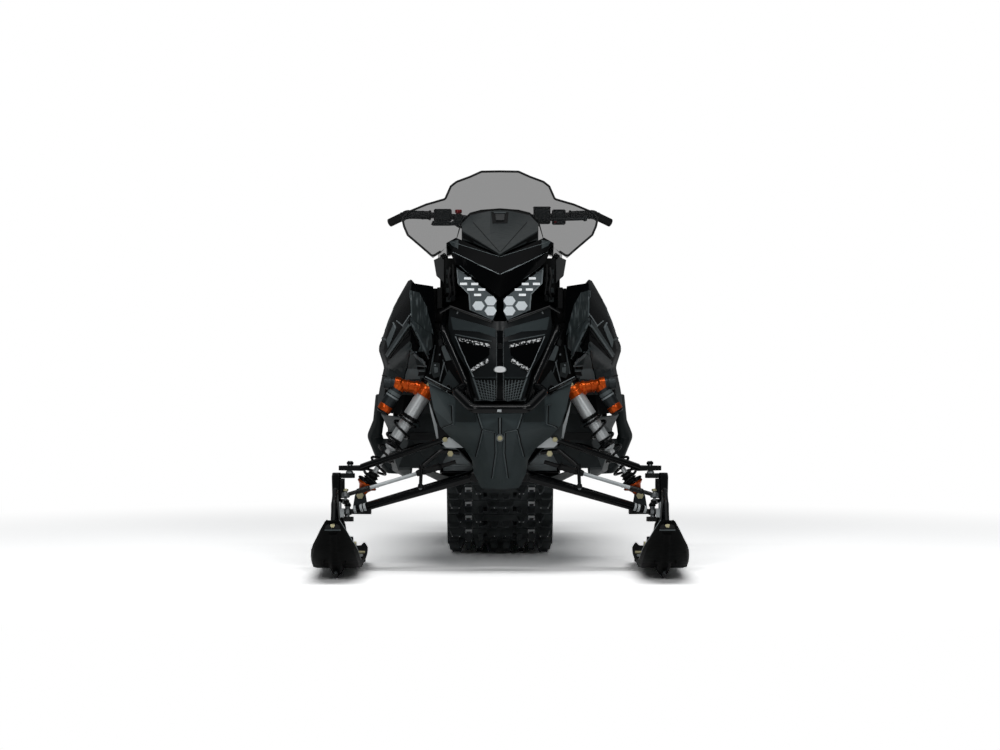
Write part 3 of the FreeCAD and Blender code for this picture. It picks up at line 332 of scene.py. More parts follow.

# %% [markdown]
# The windshield is smoked polycarbonate. A clear glass shader would bend the light and darken with
# each bounce, so this finish is a thin dark film that lets half of the light through, under a gloss.
# The lamp windows glow a little, with the fine grid of their reflectors drawn by two waves.

# %% Screen, lamps, printed bands, painted highlight lines and seat
f = Finish("smoked_screen")
f.done(f.mix(f.noise(3.0, 2.0), "131516", "1a1c1d"), 0.10 + f.noise(30.0, 3.0) * 0.04, Alpha=0.485,
       Specular_IOR_Level=0.12)
f = Finish("lamp_window")
ribs = (f.axis("X") * 900.0).wave().size() * (f.axis("Z") * 900.0).wave().size()
f.done(f.mix(ribs, "aab4b8", "f4f8fa"), 0.10, ribs, 0.0004, 0.4, Emission_Color=f.mix(ribs, "8c979c", "f2f7fa"),
       Emission_Strength=0.35, Coat_Weight=1.0)
f = Finish("lamp_bar")
f.done(f.mix(f.noise(150.0), "dfe6e8", "ffffff"), 0.15, f.noise(400.0), 0.0002, 0.3,
       Emission_Color=(0.9, 0.96, 1.0, 1), Emission_Strength=0.3)
f = Finish("lamp_shell")
f.done(f.mix(f.noise(6.0), "50585b", "666e71"), 0.16 + f.noise(60.0) * 0.08, f.noise(200.0, 1.0), 0.0001, 0.2,
       Coat_Weight=1.0)
f = Finish("streaked_grey")
streaks = f.noise(26.0, 5.0, f.stretched((7, 1, 0.8), (0.0, 0.32, 0.0)), contrast=(0.52, 0.66))
f.done(f.mix(streaks, "232a2b", "586062"), 0.34 + f.noise(20.0) * 0.1, f.cells(1000.0), 0.00015, 0.3)
f = Finish("pale_flecks")
flecks = f.noise(85.0, 4.0, f.stretched((1, 1, 2.2)), contrast=(0.47, 0.53))
f.done(f.mix(flecks, "101314", "e3e6e7"), 0.28 + f.noise(30.0) * 0.1, f.noise(200.0), 0.0001, 0.2)
# thin_line is a light grey that is mostly laid as thin strips along edges, creases, rims and rails, as painted
# highlights.
f = Finish("thin_line")
f.done(f.mix(f.noise(40.0), "6d7577", "8b9396"), 0.28 + f.noise(90.0) * 0.1)
f = Finish("gauge_glass")
f.done(f.mix(f.noise(5.0), "07090a", "101517"), 0.05 + f.noise(80.0) * 0.03, Coat_Weight=1.0)
f = Finish("seat_vinyl")
weave = f.cells(420.0, "F1")
f.done(f.mix(f.noise(7.0, 4.0, contrast=(0.35, 0.7)), "101213", "1b1e1f"), 0.46 + f.noise(50.0) * 0.12,
       weave, 0.0005, 0.5)
f = Finish("thread")
f.done(f.mix(f.noise(200.0), "7a7f80", "a5aaab"), 0.6 + f.noise(300.0) * 0.2)
print(len(M), "finishes")

# %% [markdown]
# ## Making pieces
# `Form` collects the faces of one piece, each with its finish: turned bars, bent tubes, slabs and
# copies of CAD nodes. A node's own mesh is loose triangles, so a copy is merged, its flat faces are
# joined again, and a Bevel modifier rounds the edges: light catches a rounded edge and draws the
# shape, and without it black plastic is a hole in the picture.

# %% Points, rings and bends
MM = 0.001
SHARP = 32.0  # degrees: a steeper edge is rounded and stays crisp


def P(x, y, z):
    """A point given in millimetres."""
    return Vector((x, y, z)) * MM


def circle(count, turn=0.0):
    """Angles evenly spaced round a circle."""
    return [2 * math.pi * (k + turn) / count for k in range(count)]


def ring(centre, direction, radius, sides):
    direction = direction.normalized()
    u = direction.cross(UP)
    u = (direction.cross(FORWARD) if u.length < 0.3 else u).normalized()
    w = direction.cross(u)
    return [centre + (u * math.cos(a) + w * math.sin(a)) * radius for a in circle(sides)]


def bent(points, bend, cuts=7):
    """The centre line of a bent tube: straight runs joined by arcs of a radius in millimetres."""
    line = [points[0]]
    for a, p, b in zip(points, points[1:], points[2:]):
        u, w = (a - p).normalized(), (b - p).normalized()
        half = u.angle(w) / 2
        if half > 1.55:
            line.append(p)
            continue
        reach = min(bend * MM / math.tan(half), 0.45 * (a - p).length, 0.45 * (b - p).length)
        centre = p + (u + w).normalized() * (reach / math.cos(half))
        start, end, sweep = p + u * reach - centre, p + w * reach - centre, math.pi - 2 * half
        for k in range(cuts + 1):
            t = sweep * k / cuts
            line.append(centre + (start * math.sin(sweep - t) + end * math.sin(t)) / math.sin(sweep))
    return line + [points[-1]]


def drum(radius, length, edge, cut):
    """The profile of a short bar whose two rims are cut off."""
    return (0, radius - cut), (edge, radius), (length - edge, radius), (length, radius - cut)


def hang(name, data, body, nodes=(), sharp=SHARP):
    """Puts a finished mesh on a body of the frame, in place of some CAD nodes."""
    data.set_sharp_from_angle(angle=math.radians(sharp))
    made = bpy.data.objects.new(name, data)
    scene.collection.objects.link(made)
    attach(made, body)
    if nodes:
        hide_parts(*nodes)
    return made


# %% The Form
class Form:
    """Collects the faces of one piece, with a finish for each face. side makes one of a mirrored pair."""
    def __init__(self, name, side=None):
        self.name, self.side = name + "_" + side if side else name, side
        self.mesh, self.finishes = bmesh.new(), []

    def use(self, finish):
        if finish not in self.finishes:
            self.finishes.append(finish)
        return self.finishes.index(finish)

    def add(self, corners, index):
        made = self.mesh.faces.new(corners)
        made.material_index, made.smooth = index, True

    def face(self, corners, finish):
        self.add(corners, self.use(finish))

    def skin(self, sections, finish):
        """A closed skin through rings of points."""
        rows = [[self.mesh.verts.new(p) for p in section] for section in sections]
        for a, b in zip(rows, rows[1:]):
            self.band(a, b, finish)
        self.face(rows[0][::-1], finish)
        self.face(rows[-1], finish)
        return self

    def band(self, a, b, finish):
        """Faces between two rings of vertices."""
        for p, q, r, s in zip(a, a[1:] + a[:1], b[1:] + b[:1], b):
            self.face((p, q, r, s), finish)

    def turn(self, profile, a, b, finish, sides=32):
        """A turned solid on the line from a towards b; profile holds (distance, radius)."""
        way = (b - a).normalized()
        return self.skin([ring(a + way * (t * MM), way, r * MM, sides) for t, r in profile], finish)

    def bar(self, a, b, r, finish, sides=24):
        return self.turn(((0, r), ((b - a).length / MM, r)), a, b, finish, sides)

    def bolt(self, a, b, r):
        """The hexagon head of a bolt or a nut."""
        return self.bar(a, b, r, "zinc_yellow", 6)

    def pipe(self, points, r, finish, bend=30, sides=16):
        line = bent(points, bend)
        section, sections = ring(line[0], line[1] - line[0], r * MM, sides), []
        sections.append(section)
        for i in range(1, len(line)):
            step = (line[i] - line[i - 1]).normalized()
            onward = (line[i + 1] - line[i]).normalized() if i + 1 < len(line) else step
            cut = (step + onward).normalized()
            section = [p + step * ((line[i] - p).dot(cut) / step.dot(cut)) for p in section]
            sections.append(section)
        return self.skin(sections, finish)

    def slab(self, outline, push, finish):
        """A flat outline pushed along a vector."""
        return self.skin([outline, [p + push for p in outline]], finish)

    def plate(self, outline, at, thick, finish, axis="Y", s=1):
        """An outline drawn across an axis, from its place on the axis to a thickness along it."""
        place, push = {"X": (lambda y, z: P(at, y, z), P(thick, 0, 0)),
                       "Y": (lambda x, z: P(s * x, at, z), P(0, thick, 0)),
                       "Z": (lambda x, y: P(s * x, y, at), P(0, 0, thick))}[axis]
        return self.slab([place(*point) for point in outline], push, finish)

    def block(self, x0, x1, y0, y1, z0, z1, finish):
        return self.plate(((x0, z0), (x1, z0), (x1, z1), (x0, z1)), y0, y1 - y0, finish)

    def taper(self, x0, x1, levels, finish):
        """A block whose sides lean in: levels hold (height, half depth, inset at each end)."""
        return self.skin([[P(x0 + k, -d, h), P(x1 - k, -d, h), P(x1 - k, d, h), P(x0 + k, d, h)] for h, d, k in levels],
                         finish)

    def copy(self, finish, node=None):
        """A merged copy of a CAD node's mesh."""
        made = bmesh.new()
        made.from_mesh(frame["nodes"][node or self.name].data)
        bmesh.ops.remove_doubles(made, verts=made.verts, dist=2e-5)
        bmesh.ops.dissolve_limit(made, angle_limit=math.radians(0.6), verts=made.verts, edges=made.edges)
        twin = {v: self.mesh.verts.new(v.co) for v in made.verts}
        for f in made.faces:
            self.face([twin[v] for v in f.verts], finish)
        made.free()
        return self

    def repaint(self, test, finish):
        """Gives a finish to the faces whose centre and normal pass a test."""
        index = self.use(finish)
        for f in self.mesh.faces:
            if test(f.calc_center_median(), f.normal):
                f.material_index = index
        return self

    def mirrored(self):
        """Adds the same faces on the other side."""
        old, twin = list(self.mesh.faces), {}
        for f in old:
            for v in f.verts:
                if v not in twin:
                    twin[v] = self.mesh.verts.new(Vector((-v.co.x, v.co.y, v.co.z)))
        for f in old:
            self.add([twin[v] for v in reversed(f.verts)], f.material_index)
        return self

    def flip(self):
        """Moves every face to the other side."""
        for v in self.mesh.verts:
            v.co.x = -v.co.x
        bmesh.ops.reverse_faces(self.mesh, faces=self.mesh.faces)

    def done(self, *nodes, body=None, slot=None, bevel=1.2, segments=2):
        """Closes the piece. Without a body of its own it stands for some CAD nodes, or for the one of its name."""
        if self.side == "right":
            self.flip()
        if not body:
            nodes = nodes or (self.name,)
            body, slot = frame["nodes"][nodes[0]]["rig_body"], SLOT_OF[nodes[0]]
        bmesh.ops.recalc_face_normals(self.mesh, faces=self.mesh.faces)
        data = bpy.data.meshes.new(self.name)
        self.mesh.to_mesh(data)
        self.mesh.free()
        for finish in self.finishes:
            data.materials.append(M[finish])
        made = hang(self.name, data, body, nodes)
        if bevel:
            edge = made.modifiers.new("edges", "BEVEL")
            edge.width, edge.segments = bevel * MM, segments
            edge.limit_method, edge.angle_limit = "ANGLE", math.radians(SHARP)
            edge.harden_normals, edge.use_clamp_overlap = True, True
        return made


# %% [markdown]
# ## Laying thin things on a curved panel
# Inlays, printed bands, seams and shallow steps follow the panel that they lie on, and so do the thin
# light and dark strips that paint highlights and shade along edges and creases. `lay` casts a grid of
# rays at the CAD surface and builds a thin closed patch where they land. `dress` works through a table
# of patches, given by four corners, and of strips, given by head, tail and width.

# %% Patches on a surface
FAR = 2.0  # metres: where the rays start
SUNK = 0.6  # how deep a patch is let into its panel


def target(node):
    """What rays are cast at: the outer surface of a CAD node."""
    data = frame["nodes"][node].data
    return BVHTree.FromPolygons([v.co.copy() for v in data.vertices], [list(f.vertices) for f in data.polygons])


def lay(form, tree, corners, finish, thick, steps=(8, 4), side=0):
    """A patch over the surface, seen from the front as (x, z) or from the side 1 or -1 as (y, z)."""
    a, b, c, d = (Vector(p) * MM for p in corners)
    way = LEFT * -side if side else FORWARD
    top, low = [], []
    for i in range(steps[0] + 1):
        for j in range(steps[1] + 1):
            u, v = i / steps[0], j / steps[1]
            flat = (a * (1 - u) + b * u) * (1 - v) + (d * (1 - u) + c * u) * v
            origin = Vector((FAR * side, flat.x, flat.y) if side else (flat.x, -FAR, flat.y))
            hit, normal = tree.ray_cast(origin, way)[:2]
            if hit is None:
                hit, normal = tree.find_nearest(origin + way * (FAR - 1.0))[:2]
            if normal.dot(way) > 0:
                normal = -normal
            top.append(hit + normal * (thick * MM))
            low.append(hit - normal * (SUNK * MM))
    m = steps[1] + 1
    up, down = [form.mesh.verts.new(p) for p in top], [form.mesh.verts.new(p) for p in low]
    plain = 3.5 * max((b - a).length / steps[0], (d - a).length / steps[1]) + 10 * MM
    cells = {}
    for i in range(steps[0]):
        for j in range(steps[1]):
            k = i * m + j
            corners = (k, k + m, k + m + 1, k + 1)
            if max((top[p] - top[q]).length for p, q in zip(corners, corners[1:] + corners[:1])) < plain:
                cells[i, j] = corners
    for (i, j), corners in cells.items():
        form.face([up[k] for k in corners], finish)
        form.face([down[k] for k in reversed(corners)], finish)
        for beside, p, q in (((i, j - 1), 0, 1), ((i + 1, j), 1, 2), ((i, j + 1), 2, 3), ((i - 1, j), 3, 0)):
            if beside not in cells:
                p, q = corners[p], corners[q]
                form.face((up[p], down[p], down[q], up[q]), finish)
    for v in [v for v in up + down if not v.link_faces]:
        form.mesh.verts.remove(v)


def dress(form, tree, *rows, sides=(-1, 1), seen_from=0):
    """Lays rows of (shape, finish, thickness, steps), with x mirrored by each of sides."""
    for s in sides:
        for shape, finish, thick, *steps in rows:
            a, b, *rest = shape
            a, b = Vector((s * a[0], a[1])), Vector((s * b[0], b[1]))
            if len(shape) == 3:
                edge = Vector((b.y - a.y, a.x - b.x)).normalized() * (rest[0] / 2)
                corners, steps = (a - edge, b - edge, b + edge, a + edge), [(*(steps or [12]), 1)]
            else:
                corners = (a, b, *((s * x, z) for x, z in rest))
            lay(form, tree, corners, finish, thick, *steps, side=seen_from)

# %% [markdown]
# ## Body panels
# The panels are injection mouldings a few millimetres thick. Their facets come from the CAD node;
# the copy gets soft edges, and the gloss inlays, printed bands and vents are laid over it. Thin light
# strips along edges and creases are painted highlights, dark strips in creases are painted shade, and
# some facets take a lighter moulding by the way they face, which paints the light they catch.

# %% Hood and its brow
hood, skin = Form("hood").copy("brow_black"), target("hood")
dress(hood, skin,
      (((174, 1128), (142, 1134), (142, 1103), (164, 1114)), "body_grey", 1.2),
      # The three thin light strips below lie along the hood's creases as painted highlights.
      (((160, 1092), (2, 1016), 1.6), "thin_line", 2.2, 16),
      (((176, 1130), (2, 1076), 1.4), "body_light", 1.5, 16),
      (((162, 1054), (2, 938), 1.4), "body_light", 1.5, 16),
      *((((127 - 4.5 * k, 1074), (123 - 4.5 * k, 1046), 1.6), "deep_black", 0.4, 4) for k in range(3)))
hood.block(-112, 112, -800, -796, 1050, 1122, "deep_black").done(bevel=2.5)

# %% Lamp shells and lamps
shells, skin = Form("lamp_shells").copy("lamp_shell", "headlamp_housings"), target("headlamp_housings")
RIM = ((145, 1040), (141, 986), (104, 949), (100, 895), (22, 861), (11, 885), (11, 935))
# A thin light strip along the shell's rim, RIM, is a painted highlight.
dress(shells, skin, *(((a, b, 3), "thin_line", 3, 6) for a, b in zip(RIM, RIM[1:])))
shells.done("headlamp_housings", bevel=2)
lamps = Form("lamps").copy("lamp_bar", "headlamp_lenses")
lamps.repaint(lambda c, n: c.z < 0.935 and abs(c.x) < 0.1, "lamp_window").done("headlamp_lenses", bevel=1)

# %% Pod and gauge
pod, skin = Form("gauge_pod").copy("body_dark"), target("gauge_pod")
# Forward-facing facets in the middle take a lighter moulding, chosen by the way they face: painted light on those
# facets.
pod.repaint(lambda c, n: abs(c.x) < 0.05 and n.y < -0.1, "body_panel")
pod.repaint(lambda c, n: c.z < 1.15 and n.y < -0.8, "body_black")
dress(pod, skin,
      (((93, 1196), (2, 1093), 2.0), "deep_black", 0.5, 16),
      (((128, 1160), (8, 1089), (8, 1082), (128, 1142)), "deep_black", 0.6, (16, 2)))
dress(pod, skin,
      # The near-black patch paints the shade inside a recess on the pod's top; the small block and grey strip stand on
      # it.
      (((-30, 1232), (30, 1232), (26, 1192), (-26, 1192)), "deep_black", 0.6),
      (((-16, 1222), (16, 1222), (14, 1200), (-14, 1200)), "body_black", 4),
      (((-22, 1230), (22, 1230), (20, 1226), (-20, 1226)), "body_grey", 3), sides=(1,))
pod.done(bevel=2)
Form("gauge").copy("gauge_glass").done(bevel=2)

# %% Grille
grille, skin = Form("grille").copy("body_black", "grille_panel"), target("grille_panel")
dress(grille, skin,
      (((166, 872), (70, 848), (70, 822), (158, 828)), "body_grey", 4, (10, 3)),
      (((70, 848), (14, 832), (14, 803), (70, 822)), "body_grey", 4, (8, 3)),
      (((150, 800), (36, 775), (36, 745), (104, 694)), "brow_black", 3.5, (12, 8)),
      # This light strip along the top band's edge is a painted highlight.
      (((150, 812), (28, 790), 3), "body_light", 5),
      *((((x, 780 + rise), (x + 13, 783 + rise), (x + 8, 771 + rise), (x - 5, 768 + rise)), "pale_flecks", 5.2, (3, 3))
        for x, rise in ((36 + 18 * k, 3.6 * k) for k in range(6))),
      *((((x, 731 - drop), (x + 11, 724 - drop), (x + 8, 714 - drop), (x - 3, 721 - drop)), "pale_flecks", 5.2, (3, 3))
        for x, drop in ((40 + 15 * k, 9 * k) for k in range(4))),
      (((86, 662), (14, 664), (14, 592), (62, 592)), "deep_black", 1, (8, 8)),
      *((((84 - 3.2 * k, 658 - 10 * k), (14, 640 - 8 * k), 1.8), "body_light", 3, 6) for k in range(7)),
      *((((18 + 11 * k, 660), (18 + 7.4 * k, 594), 1.8), "body_light", 3, 6) for k in range(6)),
      (((88, 666), (62, 588), 4), "body_light", 5),
      # The thin_line strip along the side rail is a painted highlight.
      (((150, 806), (88, 668), 2), "thin_line", 5),
      (((88, 666), (12, 668), 4), "body_dark", 5))
dress(grille, skin, (((-11, 826), (11, 826), (11, 596), (-11, 596)), "brow_black", 6, (2, 24)), sides=(1,))
# Thin light strips down both sides of the centre column are painted highlights.
dress(grille, skin, (((11, 824), (11, 600), 1.0), "body_light", 6.8, 20))
dress(grille, skin, (((-9, 780), (9, 780), (9, 762), (-9, 762)), "gloss_black", 9, (2, 2)), sides=(1,))
grille.done("grille_panel", bevel=1.5)
lip = Form("grille_lip")
for s in (-1, 1):
    lip.pipe([P(s * 203, -936, 886), P(s * 168, -955, 906), P(s * 100, -1000, 882), P(s * 26, -1046, 856)],
             5, "gloss_black", 10, 12)
lip.done(body="chassis", slot="plastic_gloss", bevel=0)

# %% Badge blank: two raised ovals, each a stack of (scale, depth)
badge = Form("badge_blank")
hit = skin.ray_cast(Vector((0.0, -FAR, 0.696)), FORWARD)[0]
for finish, levels in (("bare_alloy", ((1, 1), (1, -8), (0.9, -9.5))), ("badge_white", ((0.86, -9.4), (0.84, -10.5)))):
    badge.skin([[P(22 * k * math.cos(a), hit.y / MM + dy, 696 + 12 * k * math.sin(a)) for a in circle(28)]
                for k, dy in levels], finish)
badge.done(body="chassis", slot="bulkhead_silver", bevel=0.4)

# %% Side panels
for side, s in SIDES:
    panel = Form("side_panel_" + side)
    panel.copy("brow_black")
    # Upper facets that face forward take a lighter moulding than the rest, chosen by the way they face: painted light
    # on the facets that face the lamps.
    panel.repaint(lambda c, n: n.y < -0.15 and s * n.x < 0.35 and c.z > 0.74, "body_dark")
    panel.repaint(lambda c, n: n.y < -0.1 and c.z < 0.79, "body_panel")
    skin = target(panel.name)
    # fold draws a chevron crease as a grey band with a light strip and a dark strip beside it: painted highlight and
    # painted shade on its two sides.
    fold = ((0, 9, "body_grey", 3), (-16, 5, "body_light", 3.6), (-34, 5, "deep_black", 1.2))
    dress(panel, skin,
          *((corners, "streaked_grey", 1.3, (8, 8)) for corners in (
              ((307, 962), (276, 955), (252, 910), (301, 900)), ((301, 900), (252, 910), (223, 797), (299, 868)),
              ((299, 866), (223, 797), (230, 765), (236, 738)))),
          *((corners, finish, 4, (8, 8)) for corners, finish in (
              (((395, 706), (305, 789), (302, 772), (329, 658)), "body_panel"),
              (((395, 704), (329, 658), (347, 606), (395, 678)), "body_panel"),
              (((303, 764), (296, 750), (274, 658), (325, 652)), "body_light"),
              (((296, 750), (243, 699), (250, 663), (274, 660)), "body_grey"),
              (((326, 655), (250, 660), (262, 600), (345, 605)), "body_dark"))),
          # The thin light strips here, along the panel's edges and over the two dark slots, are painted highlights.
          (((304, 962), (301, 872), 3), "body_light", 2.5, 8),
          *((((302, 868 + rise), tail, width), finish, thick, 14) for rise, width, finish, thick in fold
            for tail in ((390 + rise * 0.2, 738 + rise * 0.3), (244, 742 + rise * 0.8))),
          (((298, 756), (242, 704), (243, 694), (292, 738)), "thin_line", 4.8, (8, 2)),
          (((302, 884), (331, 842), 3), "thin_line", 1.2),
          (((354, 858), (322, 834), 3), "thin_line", 1.2),
          (((362, 850), (354, 834), (384, 764), (390, 790)), "body_light", 1.6, (4, 8)),
          (((366, 852), (356, 832), 3), "thin_line", 2.2, 4),
          (((284, 706), (252, 702), (250, 692), (284, 690)), "deep_black", 5.2, (4, 2)),
          (((285, 707), (252, 704), 2), "thin_line", 6, 4),
          (((278, 684), (252, 682), (250, 672), (282, 668)), "deep_black", 5.2, (4, 2)),
          (((279, 685), (252, 684), 2), "thin_line", 6, 4), sides=(s,))
    dress(panel, skin,
          (((-770, 912), (-430, 868), (-404, 806), (-722, 826)), "streaked_grey", 1.5, (14, 6)),
          (((-610, 782), (-398, 762), (-420, 684), (-572, 684)), "body_dark", 2, (10, 6)),
          (((-790, 640), (-392, 640), (-392, 560), (-720, 560)), "body_panel", 1.5, (12, 4)),
          *((((-556 + 42 * k, 764 - 4 * k), (-528 + 40 * k, 700), 12), "deep_black", 3.4, 6) for k in range(4)),
          (((-800, 792), (-408, 796), 6), "body_light", 2.6, 16),
          (((-786, 664), (-392, 664), 3), "deep_black", 2.6, 16),
          (((-770, 918), (-428, 874), 3), "body_light", 2.6, 16), sides=(1,), seen_from=s)
    panel.done(bevel=3)

# %% Lower panels, nose, belly, inner panels and ducts
Form("lower_panels").copy("nose_panel").done(bevel=3)
nose, skin = Form("nose_cover").copy("nose_panel"), target("nose_cover")
# Each crease on the nose is a dark strip, which paints the shade in the groove, with a thin light strip beside it as a
# painted highlight.
CREASES = (((58, 496), (72, 436), 4), ((72, 436), (80, 404), 4), ((58, 496), (18, 488), 3), ((16, 486), (14, 420), 3),
           ((14, 420), (26, 332), 3), ((160, 574), (158, 512), 4), ((158, 512), (192, 500), 4),
           ((174, 576), (160, 574), 3), ((254, 652), (166, 612), 3), ((166, 612), (78, 562), 3),
           ((80, 560), (60, 498), 3))
dress(nose, skin,
      (((56, 496), (18, 486), (14, 420), (26, 330)), "nose_panel", 4.5, (6, 14)),
      *(row for a, b, width in CREASES for row in (
          ((a, b, width), "deep_black", 5.4, 10),
          (((a[0] - 3.5, a[1]), (b[0] - 3.5, b[1]), 1.8), "body_light", 6, 10))),
      (((150, 606), (84, 566), (78, 520), (150, 520)), "body_dark", 1.2, (8, 6)))
dress(nose, skin,
      (((-6, 537), (6, 537), (6, 484), (-6, 484)), "deep_black", 1.2, (2, 6)),
      (((-1, 537), (1, 537), (1, 484), (-1, 484)), "body_light", 3, (2, 6)), sides=(1,))
hit = skin.ray_cast(Vector((0.0, -FAR, 0.469)), FORWARD)[0]
nose.bar(hit - P(0, 3, 0), hit, 12.5, "plain_steel").bolt(hit - P(0, 9, 0), hit, 8.5).done(bevel=3)
Form("belly_pan").copy("body_dark").done(bevel=3)
inner = Form("inner_panels").copy("deep_black").repaint(lambda c, n: c.z < 0.62, "body_dark")
for s in (-1, 1):
    for outline, y, finish in (
            (((335, 600), (230, 600), (222, 470), (318, 470)), -800, "body_panel"),
            (((318, 472), (222, 472), (218, 446), (312, 446)), -803, "body_black"),
            (((312, 446), (218, 446), (180, 400), (206, 352), (350, 352)), -800, "body_panel"),
            (((300, 446), (236, 446), (206, 352), (240, 352)), -803, "body_dark")):
        inner.plate(outline, y, 4, finish, s=s)
inner.done(bevel=1)
ducts = Form("ducts").copy("deep_black", "inner_boxes")
ducts.plate(((-209, 600), (209, 600), (209, 936), (118, 944), (112, 1082), (-112, 1082), (-118, 944), (-209, 936)),
            -770, 4, "deep_black")
ducts.done("inner_boxes", bevel=4)
Form("console").copy("body_dark").done(bevel=4)
Form("fuel_tank").copy("body_dark").done(bevel=12, segments=3)

# %% [markdown]
# The windshield is a bent sheet with a dark bonded trim along its edge, so the edge stays visible
# against a pale background. The trim is a thin tube that follows the sheet's rim.

# %% Windshield and trim: the sheet's lower and upper edge at each distance from the middle
SCREEN = ((0, 1243, 1381), (65, 1238, 1380), (104, 1228, 1362), (136, 1196, 1350), (152, 1132, 1344), (172, 1120, 1328),
          (191, 1108, 1283), (205, 1092, 1279), (232, 1074, 1271), (257, 1096, 1264), (320, 1149, 1238),
          (334, 1180, 1224), (344, 1206, 1214))
POD_TOP = ((0, 1232), (65, 1222), (104, 1212), (136, 1182), (152, 1128))


def on_screen(x, z, lift=1.5):
    """A point on the sheet, which leans back and bows."""
    return P(x, -825 + (z - 1080) * 0.967 + 0.0008 * x * x + lift, z)


screen = Form("windshield").copy("smoked_screen")
for s in (-1, 1):
    for (x0, a0, b0), (x1, a1, b1) in (
            ((124, 1202, 1130), (137, 1193, 1124)), ((137, 1193, 1124), (151, 1135, 1110)),
            ((151, 1135, 1090), (172, 1121, 1078)), ((172, 1121, 1078), (214, 1087, 1072))):
        screen.slab([on_screen(s * x, z, 2.0) for x, z in ((x0, a0), (x1, a1), (x1, b1), (x0, b0))],
                    P(0, 2, 0), "smoked_screen")
screen.done(bevel=0)
inset = 3.9
upper = [(-x, high - inset) for x, low, high in SCREEN[:0:-1]] + [(x, high - inset) for x, low, high in SCREEN]
lower = [(x, low + inset) for x, low, high in SCREEN[:6:-1]]
rim = [on_screen(max(-340, min(340, x)), z) for x, z in [(-x, z) for x, z in lower[::-1]] + upper + lower]
trim = Form("windshield_trim").pipe(rim, 3.9, "soft_rubber", 12, 10)
for s in (-1, 1):
    for (x0, a0, _), (x1, a1, _), (_, b0), (_, b1) in zip(SCREEN, SCREEN[1:], POD_TOP, POD_TOP[1:]):
        foot = [on_screen(s * x, a, 1.0) + P(0, 0, b - a) for x, a, b in ((x1, a1, b1), (x0, a0, b0))]
        trim.slab([on_screen(s * x0, a0 + 3, 1.0), on_screen(s * x1, a1 + 3, 1.0)] + foot, P(0, 2.5, 0), "soft_rubber")
    trim.pipe([P(s * 186, -800, 1062), P(s * 186, -806, 1084), P(s * 192, -808, 1090), P(s * 198, -806, 1084),
               P(s * 197, -800, 1062)], 1.8, "soft_rubber", 6, 8)
trim.done(body="chassis", slot="plastic_black", bevel=0)
mounts = Form("windshield_brackets").copy("body_black")
for outline, y in ((((206, 1082), (196, 1088), (180, 1080), (172, 1052), (168, 1000), (176, 936), (206, 946)), -792),
                   (((186, 1060), (160, 1066), (150, 1010), (160, 930), (182, 930)), -806),
                   (((224, 905), (192, 905), (190, 830), (216, 830)), -842)):
    for s in (-1, 1):
        mounts.plate(outline, y, 5, "deep_black", s=s)
mounts.done(bevel=1.5)

# %% [markdown]
# ## Tubes and round parts
# Steel tube has a true round section and smooth bends, which a printed-looking eight-sided CAD bar
# lacks. `pipe` sweeps a ring of points along straight runs and arcs. Turned parts come from a
# profile of distances and radii.

# %% Frame, bumpers and sway bar
STEER_LOW, STEER_TOP = P(0, -640, 705), P(0, -405, 1185)
post_way = (STEER_TOP - STEER_LOW).normalized()
COLLAR = STEER_LOW + (STEER_TOP - STEER_LOW) * 0.349
tubes = Form("frame_tubes")
for s in (-1, 1):
    tubes.pipe([P(s * x, y, z) for x, y, z in ((92, -1040, 574), (116, -1046, 650), (196, -960, 830), (170, -640, 955),
                                               (170, -415, 720), (185, -388, 589))], 10.5, "powder_black", 40)
for x, y, z, r in ((170, COLLAR.y / MM, COLLAR.z / MM, 11), (172, -652, 948, 10), (95, -1040, 580, 8)):
    tubes.bar(P(-x, y, z), P(x, y, z), r, "powder_black")
tubes.turn(drum(26, 56, 4, 4), COLLAR - post_way * (28 * MM), COLLAR, "powder_black").done(bevel=0.6)
hoop = [(126, -1052, 636), (150, -1140, 622), (92, -1215, 567)]
bumper = Form("front_bumper").pipe([P(*p) for p in hoop] + [P(-x, y, z) for x, y, z in hoop[::-1]],
                                   15, "powder_black", 36, 24)
bumper.block(-9, 5, -1233, -1224, 558, 566, "silver_knuckle").done(bevel=0)
tail = [(219, 1120, 470), (219, 1300, 500), (200, 1455, 590)]
rear = Form("rear_bumper").pipe([P(-x, y, z) for x, y, z in tail] + [P(*p) for p in tail[::-1]],
                                12, "powder_black", 60, 20)
rear.done(bevel=0)
sway = Form("sway_bar")
sway.pipe([P(136, -1014, 413), P(200, -1014, 420), P(262, -1014, 368)], 8, "powder_black")
sway.turn(((0, 9), (12, 9), (14, 6), (66, 6), (68, 9), (80, 9)), P(266, -1014, 372), P(270, -1014, 292),
          "powder_black", 20)
sway.bar(P(270, -1020, 292), P(270, -972, 290), 6, "plain_steel", 16).mirrored().done(bevel=0.6)

# %% Wishbones


def bushes(arm, spans, x, z, profile, sleeve):
    """Where an arm hangs on the frame: a turned eye over a rubber sleeve, at each span of y."""
    for y0, y1 in spans:
        arm.turn(profile, P(x, y0, z), P(x, y1, z), "powder_black")
        arm.bar(P(x, y0 - 2, z), P(x, y1 + 2, z), sleeve, "soft_rubber", 20)


